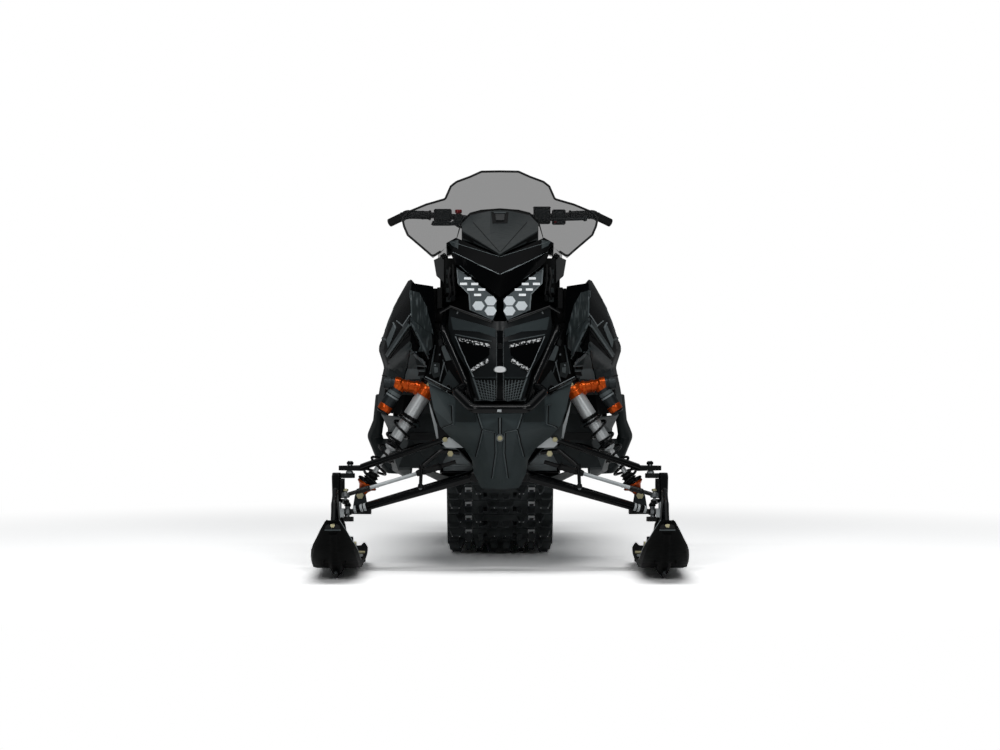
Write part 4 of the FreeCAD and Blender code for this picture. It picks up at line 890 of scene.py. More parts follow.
KING_LOW, KING_TOP = P(522, -900, 205), P(514, -884, 354)
king = (KING_TOP - KING_LOW).normalized() * MM
low_arm = Form("lower_wishbones")
for y, outer_y in ((-1008, -912), (-775, -888)):
    low_arm.pipe([P(86, y, 330), P(498, outer_y, 211)], 13.5, "powder_black", sides=20)
low_arm.plate(((440, -930), (500, -922), (516, -912), (516, -888), (500, -878), (440, -874)),
              198, 16, "powder_black", "Z")
low_arm.turn(drum(16, 21, 3, 3), KING_LOW - king * 10.5, KING_LOW, "plain_steel")
bushes(low_arm, ((-1030, -986), (-797, -753)), 86, 330, drum(17, 44, 2, 3), 9)
low_arm.bar(P(330, -953, 260), P(330, -830, 260), 9, "powder_black", 16)
for y in (-912, -874):
    low_arm.plate(((452, 212), (504, 212), (496, 262), (488, 274), (470, 274), (460, 262)), y, 6, "dark_alloy")
low_arm.bolt(P(478, -924, 262), P(478, -912, 262), 13)
for d in (0, 22, 34):
    clamp_at = P(498 - d, -912 - 0.23 * d, 211 + 0.29 * d)
    low_arm.turn(drum(14.6, 9, 1, 1), clamp_at, clamp_at + P(-10, -2.3, 2.9), "silver_knuckle")
low_arm.mirrored().done("lower_arms", bevel=0.8)
top_arm = Form("upper_wishbones")
for y, outer_y in ((-1008, -925), (-775, -850)):
    top_arm.pipe([P(186, y, 458), P(476, outer_y, 356)], 10.5, "powder_black", sides=20)
top_arm.plate(((468, -936), (512, -908), (540, -898), (552, -890), (552, -878), (540, -870), (512, -862), (468, -838)),
              346, 16, "powder_black", "Z")
bushes(top_arm, ((-1028, -988), (-795, -755)), 186, 458, drum(14.5, 40, 2, 2.5), 8)
top_arm.mirrored().done("upper_arms", bevel=0.8)

# %% [markdown]
# ## Front dampers
# A damper is a turned thing from end to end: orange cap, silver body, threaded rings, ribbed bump
# stop, bright rod, orange lower seat. The spring is a helix whose pitch opens after two tight coils.

# %% Damper, springs, caps, reservoir
SHOCK_LOW, SHOCK_TOP = P(478, -890, 262), P(241, -890, 637)
way = (SHOCK_LOW - SHOCK_TOP).normalized()


def down(mm):
    """A point on the damper's line, at a distance below its upper eye."""
    return SHOCK_TOP + way * (mm * MM)


def turned(form, *runs, a=SHOCK_TOP, b=SHOCK_LOW, sides=40):
    """Runs of (profile, finish), turned on one line."""
    for profile, finish in runs:
        form.turn(profile, a, b, finish, sides)


damper = Form("front_dampers")
turned(damper, (((42, 24), (43, 25.6), (122, 25.6), (124, 24)), "polished"),
       (((124, 21.5), (152, 21.5), (153, 23), (160, 23), (161, 21.5), (214, 21.5), (216, 20)), "polished"),
       (((245, 17), (247, 20), (252, 20), (254, 16), (258, 14)), "polished"))
turned(damper, (((254, 8.5), (398, 8.5)), "chrome_rod"), sides=24)
damper.mirrored().done("front_shocks", bevel=0.5)
springs = Form("front_springs")
RINGS = ((122, 31), (123, 36), (127, 36), (128, 31), (130, 31), (131, 35), (134, 35), (135, 31))
turned(springs, (RINGS, "powder_black"),
       ([(216 + 3.0 * k, (24, 24, 22.6)[k % 3]) for k in range(10)] + [(245, 22)], "powder_black"),
       ([(352 + 4.0 * k, (17, 23, 17)[k % 3] + 0.35 * k) for k in range(12)], "soft_rubber"))
u = way.cross(FORWARD).normalized()
w = way.cross(u)
helix = []
for k in range(151):
    turns = k / 24
    a = 2 * math.pi * turns
    drop = 140 + 12 * min(turns, 0.6) + 49 * min(max(turns - 0.6, 0), 4.9) + 9 * max(turns - 5.5, 0)
    helix.append(down(drop) + (u * math.cos(a) + w * math.sin(a)) * (35 * MM))
springs.pipe(helix, 4.6, "powder_black", 0.1, 10).mirrored().done(bevel=0)
ELBOW, KNOB, EYE = P(352, -890, 642), P(396, -890, 646), P(0, 16, 0)
caps = Form("damper_caps")
turned(caps, (((2, 25), (4, 31), (12, 33), (18, 33), (20, 31), (23, 31), (25, 33), (40, 33), (42, 30)),
              "anodised_orange"))
caps.turn(drum(16, 32, 2, 3), SHOCK_TOP - EYE, SHOCK_TOP, "anodised_orange")
caps.turn(((0, 22), (30, 21.5), (32, 24.5), (42, 24.5), (44, 20.5), (62, 20), (64, 22.5), (70, 22.5), (72, 20),
           (88, 20), (94, 24), (112, 24)), down(18), ELBOW, "anodised_orange")
turned(caps, (((396, 30), (398, 36), (404, 36), (412, 24), (424, 17), (434, 15), (446, 15)), "anodised_orange"))
caps.turn(drum(14, 32, 2, 3), SHOCK_LOW - EYE, SHOCK_LOW, "plain_steel")
caps.mirrored().done("shock_caps", bevel=0.8)
bottle, store = P(354, -890, 622), Form("reservoirs")
store.turn(((0, 19), (4, 22.5), (12, 22.5), (13, 21), (17, 21), (18, 22.5), (26, 22.5), (28, 21.5), (42, 20.5)),
           ELBOW + (KNOB - ELBOW) * 0.06, KNOB, "dark_alloy", 40)
turned(store, (((-26, 20), (-22, 24.5), (-4, 24.5)), "anodised_orange"), (((-4, 23.6), (62, 23.6)), "dark_alloy"),
       (((8, 23.9), (20, 23.9)), "body_light"), (((24, 23.95), (30, 23.95)), "thin_line"),
       (((62, 23.5), (64, 24.5), (82, 24.5), (84, 23.5)), "anodised_orange"),
       (((84, 22.5), (90, 22.5), (92, 20)), "powder_black"), a=bottle, b=bottle + way)
store.mirrored().done("shock_reservoirs", bevel=0.6)

# %% [markdown]
# ## Spindles, skis and tie rods
# The ski leg is a forging with a fork round the saddle, and the skis are moulded in one with a keel,
# a loop bolted at the tip and a steel wear bar below. All are drawn for the left, and the piece
# for the right is turned over as it is closed.

# %% Spindles
SKI_X, BOLT_Y, BOLT_Z = 546, -895, 92
TIE_OUT, TIE_IN = P(524, -990, 267), P(150, -985, 380)
OCTAGON = ((-0.7, -1), (0.7, -1), (1, -0.6), (1, 0.6), (0.7, 1), (-0.7, 1), (-1, 0.6), (-1, -0.6))
LEG = ((118, 0, 24, 40), (130, 1, 23, 39), (160, 4, 21, 35), (196, 13, 16.5, 28), (260, 13, 14.5, 24),
       (326, 13, 16, 25), (338, 13, 14, 22))  # height, shift outwards, half width, half depth
for side, _ in SIDES:
    leg = Form("spindle", side)
    leg.skin([[P(SKI_X + x + dx * w, BOLT_Y + dy * d, z) for dx, dy in OCTAGON] for z, x, w, d in LEG], "powder_black")
    leg.turn(drum(22, 48, 3, 3), P(SKI_X - 24, BOLT_Y, BOLT_Z), P(SKI_X, BOLT_Y, BOLT_Z), "powder_black")
    leg.block(SKI_X - 24, SKI_X + 24, BOLT_Y - 22, BOLT_Y + 22, BOLT_Z, 124, "powder_black")
    for outline, z, thick in ((((548, -916), (506, -912), (500, -900), (506, -888), (548, -876)), 172, 16),
                              (((548, -904), (500, -898), (496, -886), (500, -874), (548, -872)), 320, 16),
                              (((548, -905), (520, -915), (512, -985), (518, -1002), (530, -1002), (536, -985),
                                (540, -920)), 236, 14)):
        leg.plate(outline, z, thick, "powder_black", "Z")
    for x0, x1, y0, y1, z0, z1, finish in (
            (-3, 31, -926, -864, 186, 236, "silver_knuckle"), (-2, 30, -938, -922, 188, 240, "silver_knuckle"),
            (-14, 0, -936, -922, 188, 218, "silver_knuckle"), (-15, 3, -914, -880, 252, 318, "powder_black"),
            (-10, -4, -922, -914, 256, 314, "powder_black")):
        leg.block(SKI_X + x0, SKI_X + x1, y0, y1, z0, z1, finish)
    leg.bar(KING_LOW - king * 30, KING_LOW + king * 32, 8.8, "plain_steel")
    leg.bar(KING_TOP - king * 30, KING_TOP + king * 24, 8.8, "plain_steel")
    for foot, start in ((KING_LOW, 18), (KING_TOP, 12)):
        leg.bar(foot + king * start, foot + king * (start + 9), 12, "powder_black", 6)
    leg.turn(((0, 11), (4, 13.5), (10, 11)), KING_TOP - king * 20, KING_TOP, "silver_knuckle")
    leg.bar(TIE_OUT - king * 26, TIE_OUT + king * 22, 4.9, "plain_steel", 16)
    leg.bolt(TIE_OUT + king * 13, TIE_OUT + king * 21, 8.5)
    leg.bar(P(SKI_X - 52, BOLT_Y, BOLT_Z), P(SKI_X + 52, BOLT_Y, BOLT_Z), 7.8, "plain_steel")
    for x0, x1 in ((-55, -46), (46, 55)):
        leg.bolt(P(SKI_X + x0, BOLT_Y, BOLT_Z), P(SKI_X + x1, BOLT_Y, BOLT_Z), 12.5)
    leg.done(bevel=1.5)

# %% Skis: rows of (y, half width, sole, edge, depth of keel)
SKI = ((-1549, 24, 206, 214, 0), (-1531, 33, 186, 198, 0), (-1512, 42, 168, 182, 0), (-1478, 56, 138, 154, 1),
       (-1440, 69, 110, 130, 2), (-1395, 77, 86, 109, 4), (-1350, 80, 66, 92, 8), (-1295, 81.5, 51, 78, 15),
       (-1240, 83, 38, 66, 22), (-1100, 86, 27, 56, 24), (-700, 86, 27, 56, 24), (-540, 82, 34, 60, 22),
       (-480, 70, 50, 72, 10))
SADDLE = ((-1010, 36), (-985, 66), (-940, 96), (-929, 114), (-913, 119), (-877, 119), (-861, 114), (-820, 88),
          (-790, 70), (-760, 36))


def ski_section(y, w, sole, edge, keel):
    """One section of a ski: the left half of its outline, then the same turned over."""
    tip = max(sole - keel, 6)
    under = [(w, edge - 8), (w * 0.93, sole + 3), (w * 0.8, sole), (22, sole), (12, tip + 2), (9, tip)]
    above = [(w, edge), (w * 0.93, edge), (w * 0.80, sole + 12), (14, sole + 10)]
    outline = [(-x, z) for x, z in under] + under[::-1] + above + [(-x, z) for x, z in above[::-1]]
    return [P(SKI_X + x, y, z) for x, z in outline]


for side, _ in SIDES:
    ski = Form("ski", side).skin([ski_section(*row) for row in SKI], "ski_plastic")
    for d in (-43, 30):
        ski.plate(SADDLE, SKI_X + d, 13, "ski_plastic", "X")
    ski.pipe([P(SKI_X, y, z) for y, z in ((-1500, 188), (-1420, 262), (-1300, 306), (-1130, 190), (-1070, 42))],
             9, "powder_black", 60)
    ski.slab([P(SKI_X + x, -1546 + (206 - z) * 0.5, z) for x, z in ((-27, 182), (27, 182), (18, 211), (-18, 211))],
             P(0, 14, -3), "powder_black")
    # Two light strips on the tip bracket, at its lower lip and its top edge, are painted highlights.
    for w, y, z, high in ((26, -1537.5, 181, 4), (22, -1548.8, 211, 3)):
        ski.block(SKI_X - w, SKI_X + w, y, y + 8, z, z + high, "body_light")
    ski.bolt(P(SKI_X, -1547.2, 199), P(SKI_X, -1540, 197.6), 8)
    # A thin light line along the ski's inner upper edge is a painted highlight.
    ski.pipe([P(SKI_X - w + 1, max(y, -1548), edge + 1) for y, w, sole, edge, keel in SKI[:9]], 1.8, "thin_line", 10, 8)
    ski.bar(P(SKI_X - 84, BOLT_Y, 66), P(SKI_X - 50, BOLT_Y, 66), 5, "zinc_yellow", 12)
    ski.bar(P(SKI_X - 73, -905, 60), P(SKI_X - 66, -905, 24), 5.5, "silver_knuckle", 12)
    ski.block(SKI_X - 86, SKI_X - 58, -915, -880, 34, 52, "ski_plastic")
    for y, z in ((-1500, 178), (-1078, 50)):
        ski.block(SKI_X - 13, SKI_X + 13, y - 16, y + 16, z - 12, z + 6, "ski_plastic")
    for k in range(7):
        y = -1360 + 40 * k
        foot, front, back = (60 - 3 * k, 88 - 6 * k, 84 - 6 * k) if k < 4 else (46, 58, 58)
        for d in (-1, 1):
            ski.plate(((y, foot), (y + 20, foot), (y + 20, back), (y, front)), SKI_X + d * 36 - 1.5, 3,
                      "ski_plastic", "X")
    ski.done(bevel=1.5)
    wear = Form("wear_bar", side)
    wear.pipe([P(SKI_X, y, z) for y, z in ((-1300, 26), (-1200, 5.4), (-640, 5.4), (-590, 18))],
              5.2, "dark_alloy", 20, 16)
    wear.done("runner_" + side, bevel=0)

# %% Tie rods
reach = (TIE_IN - TIE_OUT).length / MM
boot = [(reach - 140 + 9 * k, (9, 11.5)[k % 2] + 0.2 * k) for k in range(10)] + [(reach - 50, 7), (reach, 7)]
for side, _ in SIDES:
    rod = Form("tie_rod", side)
    rod.turn(drum(14, 18, 3, 4), TIE_OUT - king * 9, TIE_OUT, "plain_steel", 28)
    turned(rod, (((8, 7), (40, 7), (42, 9.5), (84, 9.5), (86, 7)), "powder_black"),
           (((86, 6.6), (reach - 136, 6.6)), "silver_knuckle"), (boot, "soft_rubber"), a=TIE_OUT, b=TIE_IN, sides=24)
    rod.done(bevel=0.5)

# %% [markdown]
# ## Steering, bars and controls
# The handlebar is a bent tube with grips, a switch block with a red stop switch and a throttle
# lever on one side, and the brake's reservoir and lever on the other, each with its hose.

# %% Post, clamp and bar
BAR_Y, BAR_Z = -391.8, 1211.9
BAR = P(0, BAR_Y, BAR_Z)


def by_bar(x, y, z):
    """A point in millimetres from the middle of the handlebar."""
    return BAR + P(x, y, z)


post = Form("steering_post")
post.turn(((0, 13), (3, 14), (500, 14), (520, 14)), STEER_LOW, STEER_LOW + post_way, "powder_black").done(bevel=0.5)
clamp = Form("bar_clamp").copy("dark_alloy")
for x in (-32, 32):
    for y in (-15, 15):
        clamp.bolt(by_bar(x, y, 20), by_bar(x, y, 26), 6)
clamp.done(bevel=4)
BENDS = ((95, 0, 0), (200, 8, 12), (330, 42, 17), (392, 76, -12))
bar = Form("handlebar")
bar.pipe([by_bar(-x, y, z) for x, y, z in BENDS[::-1]] + [by_bar(*p) for p in BENDS], 10.8, "powder_black", 50, 20)
bar.done(bevel=0)
grips = Form("grips")
path = bent([by_bar(246, 20, 13.8), by_bar(*BENDS[2]), by_bar(*BENDS[3])], 30)
grips.pipe(path, 15, "soft_rubber", 1, 20)
for k in range(15):
    reach = (0.04 + 0.062 * k) * (len(path) - 1)
    i = min(int(reach), len(path) - 2)
    spot = path[i].lerp(path[i + 1], reach - i)
    along = (path[i + 1] - path[i]).normalized()
    grips.turn(drum(16.3, 4.6, 1.2, 1.5), spot - along * (2.3 * MM), spot, "soft_rubber", 20)
grips.turn(((0, 15), (1, 17.8), (5, 17.8), (7, 15)), path[0], path[1], "soft_rubber", 24)
grips.mirrored().done(bevel=0)

# %% Switch block, throttle, brake


def casing(form, x0, x1, y0, y1, z0, z1, finish, c=4):
    """A box with its long edges cut off, placed from the middle of the handlebar."""
    corners = ((x0 + c, z0), (x1 - c, z0), (x1, z0 + c), (x1, z1 - c), (x1 - c, z1), (x0 + c, z1), (x0, z1 - c),
               (x0, z0 + c))
    form.slab([by_bar(x, y0, z) for x, z in corners], P(0, y1 - y0, 0), finish)


brake = Form("brake_controls")
for box in ((118, 178, -46, 4, -18, 42, "body_black"), (122, 174, -50, -46, -12, 36, "body_dark"),
            (116, 180, -40, 0, 36, 44, "gloss_black"), (184, 232, -24, 32, -20, 34, "body_black"),
            (190, 226, -28, -24, -12, 26, "body_dark"), (140, 160, 4, 20, -14, 14, "powder_black")):
    casing(brake, *box)
brake.turn(((0, 13), (2, 15), (10, 15), (12, 12)), by_bar(208, -26, 8), by_bar(208, -38, 8), "body_dark", 28)
for x, finish in ((192, "switch_red"), (203, "body_light"), (214, "body_light")):
    brake.block(x, x + 8, BAR_Y - 33, BAR_Y - 28, BAR_Z - 14, BAR_Z - 9, finish)
brake.pipe([by_bar(150, -50, 0), by_bar(178, -66, -3), by_bar(240, -74, -2), by_bar(300, -58, 0)], 5.2, "dark_alloy",
           sides=14)
brake.turn(drum(8.5, 12, 2, 1.5), by_bar(294, -60, 0), by_bar(300, -58, 0), "dark_alloy", 20)
brake.pipe([by_bar(118, -20, 12), by_bar(96, -24, 16), by_bar(60, -40, -20), by_bar(48, -30, -120),
            by_bar(60, 10, -200)], 4.5, "hose_rubber", 50, 10)
brake.done("controls_left", bevel=1.5)
throttle = Form("throttle_controls")
for box in ((-234, -171, -24, 24, -9, 36, "body_black"), (-228, -177, -28, -24, -2, 29, "body_dark"),
            (-165, -132, -18, 24, -22, 18, "body_black"), (-160, -138, -22, -18, -16, 12, "body_dark")):
    casing(throttle, *box)
throttle.turn(((0, 9), (4, 9), (5, 12.5), (15, 12.5), (17, 10)), by_bar(-147, -2, 17), by_bar(-147, -2, 50),
              "switch_red", 28)
LEVER = ((-244, -20), (-238, -6), (-176, -10), (-140, -14), (-138, -22), (-180, -24), (-236, -24))
throttle.slab([by_bar(x, -34, z) for x, z in LEVER], P(0, 7, 0), "dark_alloy")
throttle.pipe([by_bar(-170, 4, -8), by_bar(-150, 0, -26), by_bar(-90, -20, -40), by_bar(-60, -20, -130),
               by_bar(-70, 10, -200)], 4.5, "hose_rubber", 50, 10)
throttle.done("controls_right", bevel=1.5)

# %% [markdown]
# ## Track
# The CAD belt carries the big lugs. Each lug row on the real belt is ribbed, stepped and cut, with
# steel clips that run on the rails, so the dressed belt is one row of detail repeated along the
# loop by Geometry Nodes: the loop is a curve, evenly resampled, and each point takes a row that
# faces along the curve.

# %% The loop as a curve, from the wheels that it runs round: (y, z, radius)
GUIDE_X, PITCHES, LUG, BELT = 113.0, 48, 32.0, 8.0
DRIVE, IDLER, REAR, CARRIER = (-250.0, 375.0, 92.0), (45.0, 295.0, 255.0), (1130.0, 130.0, 90.0), (480.0, 345.0, 67.0)


def belt_line(count, first=0):
    """Evenly spaced points round the middle of the belt, each with the way outwards, from one of them on."""
    rings = [(y, z, r + BELT / 2) for y, z, r in (DRIVE, IDLER, REAR, CARRIER)]
    runs = []
    for (ay, az, ar), (by, bz, br) in zip(rings, rings[1:] + rings[:1]):
        lean = math.atan2(bz - az, by - ay) - math.acos((ar - br) / math.hypot(by - ay, bz - az))
        c, s = math.cos(lean), math.sin(lean)
        runs.append(((ay + ar * c, az + ar * s), (by + br * c, bz + br * s), lean))
    parts = []
    for i, (p, q, lean) in enumerate(runs):
        y, z, r = rings[(i + 1) % 4]
        sweep = (runs[(i + 1) % 4][2] - lean) % (2 * math.pi)
        parts += [(math.dist(p, q), p, q, lean, None), (r * sweep, (y, z), None, lean, (r, sweep))]
    total, found = sum(part[0] for part in parts), []
    for k in range(count):
        s = total * k / count
        for size, p, q, lean, arc in parts:
            if s <= size:
                break
            s -= size
        t = s / size
        angle = lean + (arc[1] * t if arc else 0)
        out = Vector((0, math.cos(angle), math.sin(angle)))
        y, z = (p[0] + arc[0] * out.y, p[1] + arc[0] * out.z) if arc else (a + (b - a) * t for a, b in zip(p, q))
        found.append((P(0, y, z), out))
    return found[first:] + found[:first]


# %% [markdown]
# ## One tree for everything in a row
# `along_path` is a Geometry Nodes tree with named inputs. It takes a path whose points know which
# way is outwards, spaces `Count` points along it, and puts `Part` on them, or `Part` and `Other` in
# turn, standing on the path and facing along it. Lug rows, clips, studs, rows of holes, rivets and
# stitches all come from it. `grown` feeds it, bakes the result to a plain mesh and hangs that on the frame.

# %% The tree
def path_tree():
    group = bpy.data.node_groups.new("along_path", "GeometryNodeTree")
    for label, kind in (("Path", "Geometry"), ("Part", "Object"), ("Other", "Object"), ("Count", "Int"),
                        ("Finish", "Material")):
        group.interface.new_socket(label, in_out="INPUT", socket_type="NodeSocket" + kind)
    group.interface.new_socket("Rows", in_out="OUTPUT", socket_type="NodeSocketGeometry")
    tree = Tree(group)
    given = group.nodes.new("NodeGroupInput").outputs

    def asked(label):
        return Value(tree, given[label])
    line = tree.node("GeometryNodeMeshToCurve", None, {"Mesh": asked("Path")})
    curve = tree.node("GeometryNodeResampleCurve", {"mode": "COUNT"}, {"Curve": line, "Count": asked("Count")})
    out = tree.node("GeometryNodeInputNamedAttribute", {"data_type": "FLOAT_VECTOR"}, {"Name": "out"})
    facing = tree.node("FunctionNodeAxesToRotation", {"primary_axis": "Z", "secondary_axis": "Y"},
                       {0: out, 1: tree.node("GeometryNodeInputTangent")})
    odd = tree.node("ShaderNodeMath", {"operation": "MODULO"}, {0: tree.node("GeometryNodeInputIndex"), 1: 2.0})
    joined = group.nodes.new("GeometryNodeJoinGeometry")
    for label, chosen in (("Part", odd < 0.5), ("Other", odd > 0.5)):
        part = tree.node("GeometryNodeObjectInfo", None, {"Object": asked(label)}, out="Geometry")
        tree.put(joined.inputs[0], tree.node("GeometryNodeInstanceOnPoints", None, {
            "Points": curve, "Selection": chosen, "Instance": part, "Rotation": facing}))
    solid = tree.node("GeometryNodeRealizeInstances", None, {0: Value(tree, joined.outputs[0])})
    dressed = tree.node("GeometryNodeSetMaterial", None, {"Geometry": solid, "Material": asked("Finish")})
    tree.put(group.nodes.new("NodeGroupOutput").inputs[0], dressed)
    return group


ALONG = path_tree()


def grown(name, routes, count, part, finish, other=None, closed=False, nodes=(), merge=0.0):
    """Rows of a part along some routes, each a list of (point, outwards), as one mesh on the chassis."""
    stock, hosts = [], []
    for form in (part, other or part):
        bmesh.ops.recalc_face_normals(form.mesh, faces=form.mesh.faces)
        data = bpy.data.meshes.new("part")
        form.mesh.to_mesh(data)
        stock.append(bpy.data.objects.new("part", data))
    known = {item.name: item.identifier for item in ALONG.interface.items_tree if item.in_out == "INPUT"}
    for route in routes:
        data = bpy.data.meshes.new("route")
        pairs = [(i, i + 1) for i in range(len(route) - 1)] + ([(len(route) - 1, 0)] if closed else [])
        data.from_pydata([p for p, o in route], pairs, [])
        data.attributes.new("out", "FLOAT_VECTOR", "POINT").data.foreach_set("vector", [c for p, o in route for c in o])
        host = bpy.data.objects.new("route", data)
        scene.collection.objects.link(host)
        grow = host.modifiers.new("rows", "NODES")
        grow.node_group = ALONG
        for label, value in (("Part", stock[0]), ("Other", stock[1]), ("Count", count), ("Finish", M[finish])):
            grow[known[label]] = value
        hosts.append(host)
    whole, depsgraph = bmesh.new(), bpy.context.evaluated_depsgraph_get()
    for host in hosts:
        made = bpy.data.meshes.new_from_object(host.evaluated_get(depsgraph))
        whole.from_mesh(made)
        bpy.data.meshes.remove(made)
    for gone in hosts + stock:
        bpy.data.objects.remove(gone)
    if merge:
        bmesh.ops.remove_doubles(whole, verts=whole.verts, dist=merge)
    for f in whole.faces:
        f.smooth = True
    data = bpy.data.meshes.new(name)
    whole.to_mesh(data)
    whole.free()
    data.materials.clear()
    data.materials.append(M[finish])
    print(name, len(data.polygons), "faces")
    hang(name, data, "chassis", nodes, sharp=35.0)


# %% Lug rows
FOOT, TIP = BELT / 2 - 1, BELT / 2 + LUG - 2.4


def lug_row(blocks):
    """One row of lugs, from the belt's mid height: a stepped taper, ribbed front and back, with a cupped tip."""
    row = Form("row").block(-186, 186, -9, 9, FOOT, BELT / 2 + 3.0, "track_rubber")
    for x0, x1 in blocks:
        for x in (x0 + 13, x1 - 13):
            row.block(x - 2, x + 2, -2, 2, TIP - 1, TIP + 0.8, "track_rubber")
        for levels in (((FOOT, 13, 0), (FOOT + 9, 10, 1.65)), ((FOOT + 9, 8.6, 3.3), (TIP - 7, 6.2, 9.35)),
                       ((TIP - 7, 7.4, 8.8), (TIP, 6, 11))):
            row.taper(x0, x1, levels, "track_rubber")
        for x in (x0 + 15, (x0 + x1) / 2, x1 - 15):
            row.taper(x, x, ((FOOT, 15, -4), (TIP - 12, 7.4, -2.4)), "track_rubber")
    return row


LOOP = belt_line(4 * PITCHES)
grown("track_lugs", [LOOP], PITCHES, lug_row(((-184, -132), (-52, 52), (132, 184))), "track_rubber",
      lug_row(((-160, -130), (-96, -57), (57, 96), (130, 160))), closed=True, nodes=("track_belt",))
half = Form("half")
for x0, x1 in ((-187, -146), (-128, -99), (-80, -60), (-36, -8), (8, 36), (60, 80), (99, 128), (146, 187)):
    half.taper(x0, x1, ((FOOT, 9, 0), (BELT / 2 + 9, 6, 2), (BELT / 2 + 22, 4, 5)), "track_rubber")
grown("track_ribs", [belt_line(8 * PITCHES, 4)], PITCHES, half, "track_rubber", closed=True)
clip, inside = Form("clip"), Form("inside")
for s in (-1, 1):
    x = s * GUIDE_X
    clip.block(x - 12, x + 12, -5, 5, 3, 9, "plain_steel")
    for d in (-12, 8):
        clip.block(x + d, x + d + 4, 9, 19, 3, 6.5, "plain_steel")
    for d in (-13.5, 12):
        clip.plate(((-11, 6), (11, 6), (8, -12), (-8, -12)), x + d, 1.5, "plain_steel", "X")
    inside.taper(s * 93, s * 93, ((-3, 9, -5), (-18, 4, -3)), "track_rubber")
grown("track_clips", [LOOP], PITCHES, clip, "clip_steel", closed=True)
for name, spots, first in (("track_studs", (20, 146, 172), 0), ("track_studs_between", (70, 84, 142), 4)):
    stud = Form("stud")
    for x in spots:
        for s in (-1, 1):
            stud.turn(((0, 2.2), (2, 2.2), (3, 1.2)), P(s * x, 0, BELT / 2 + LUG - 3.1), P(s * x, 0, 100),
                      "plain_steel", 6)
    grown(name, [belt_line(4 * PITCHES, first)], PITCHES // 2, stud, "clip_steel", closed=True)
grown("track_drivers", [LOOP], PITCHES, inside, "track_rubber", closed=True)

# %% The belt with its windows
belt = Form("belt")
COLUMNS, STEPS = (-190.5, -77, -47, 47, 77, 190.5), 6
stations = belt_line(PITCHES * STEPS)
grid = [[[belt.mesh.verts.new(P(x, 0, 0) + p + o * (h * MM)) for x in COLUMNS] for h in (-BELT / 2, BELT / 2)]
        for p, o in stations]
gap = {(i, c) for i in range(len(stations)) for c in (1, 3) if i % STEPS in (2, 3)}
for i in range(len(stations)):
    a, b = grid[i], grid[(i + 1) % len(stations)]
    for c in range(5):
        if (i, c) in gap:
            for end, beside in ((a, i - 1), (b, i + 1)):
                if (beside, c) not in gap:
                    belt.face((end[0][c], end[0][c + 1], end[1][c + 1], end[1][c]), "track_rubber")
            for k in (c, c + 1):
                belt.face((a[0][k], b[0][k], b[1][k], a[1][k]), "track_rubber")
        else:
            for h in (0, 1):
                belt.face((a[h][c], a[h][c + 1], b[h][c + 1], b[h][c]), "track_rubber")
    for k in (0, 5):
        belt.face((a[0][k], b[0][k], b[1][k], a[1][k]), "track_rubber")
belt.done("track_belt", bevel=0)

# %% [markdown]
# ## Rear suspension
# Idler wheels have a rubber tyre on a moulded disc with a ball-bearing hub; the rails are
# aluminium bars with a slider along the bottom. They show from the side and from behind.

# %% Wheels
def idler(form, x, y, z, r):
    """An idler wheel: tyre, rim, hub, web, five spokes on each side, and its bearing."""
    def at(dx):
        return P(x + dx, y, z)
    for profile, start, finish, sides in (
            (((0, r - 14), (1, r - 3), (4, r), (16, r), (19, r - 3), (20, r - 14)), -10, "wheel_rubber", 36),
            (drum(r - 13, 16, 1, 7), -8, "wheel_plastic", 36), (drum(32, 22, 1, 2), -11, "wheel_plastic", 28),
            (((0, r - 16), (4, r - 16)), -2, "wheel_plastic", 36)):
        form.turn(profile, at(start), at(10), finish, sides)
    for a in circle(5, 0.25):
        way, side = Vector((0, math.cos(a), math.sin(a))), Vector((0, -math.sin(a), math.cos(a))) * (7 * MM)
        foot, head = way * (28 * MM), way * ((r - 15) * MM)
        for dx in (-8, 4):
            form.slab([at(dx) + corner for corner in (foot - side, head - side, head + side, foot + side)], P(4, 0, 0),
                      "wheel_plastic")
    form.turn(drum(18, 26, 1, 3), at(-13), at(10), "plain_steel", 24)


def axle(form, y, z, half, r, nuts=()):
    form.bar(P(-half, y, z), P(half, y, z), r, "plain_steel")
    for x in nuts:
        form.bolt(P(x, y, z), P(x + 6, y, z), 11)


rear = Form("rear_idlers")
for x in (-150, -40, 40, 150):
    idler(rear, x, *REAR[:2], REAR[2] - 2.6)
axle(rear, *REAR[:2], 168, 12.5, (-174, 168))
rear.done("rear_axle", bevel=0)
top_wheels = Form("carrier_wheels")
for x in (-70, 70):
    idler(top_wheels, x, *CARRIER[:2], CARRIER[2] - 3.0)
axle(top_wheels, *CARRIER[:2], 100, 12.5)
top_wheels.done(bevel=0)
low_wheels = Form("bogie_wheels")
for y, places in ((330, (-150, -75, 75, 150)), (720, (-150, 150))):
    for x in places:
        idler(low_wheels, x, y, 106.6, 66)
    axle(low_wheels, y, 106.6, 165, 11, (-170, 164))
low_wheels.done(bevel=0)
drive = Form("drive_axle")
y, z, r = DRIVE
axle(drive, y, z, 196, 16)
for x in (-60, 60):
    teeth = []
    for k in range(8):
        for turn, radius in ((-0.36, 70), (-0.2, r - 2), (0.2, r - 2), (0.36, 70)):
            a = 2 * math.pi * (k + turn) / 8
            teeth.append((y + radius * math.cos(a), z + radius * math.sin(a)))
    drive.plate(teeth, x - 12, 24, "wheel_plastic", "X")
drive.done(bevel=2)

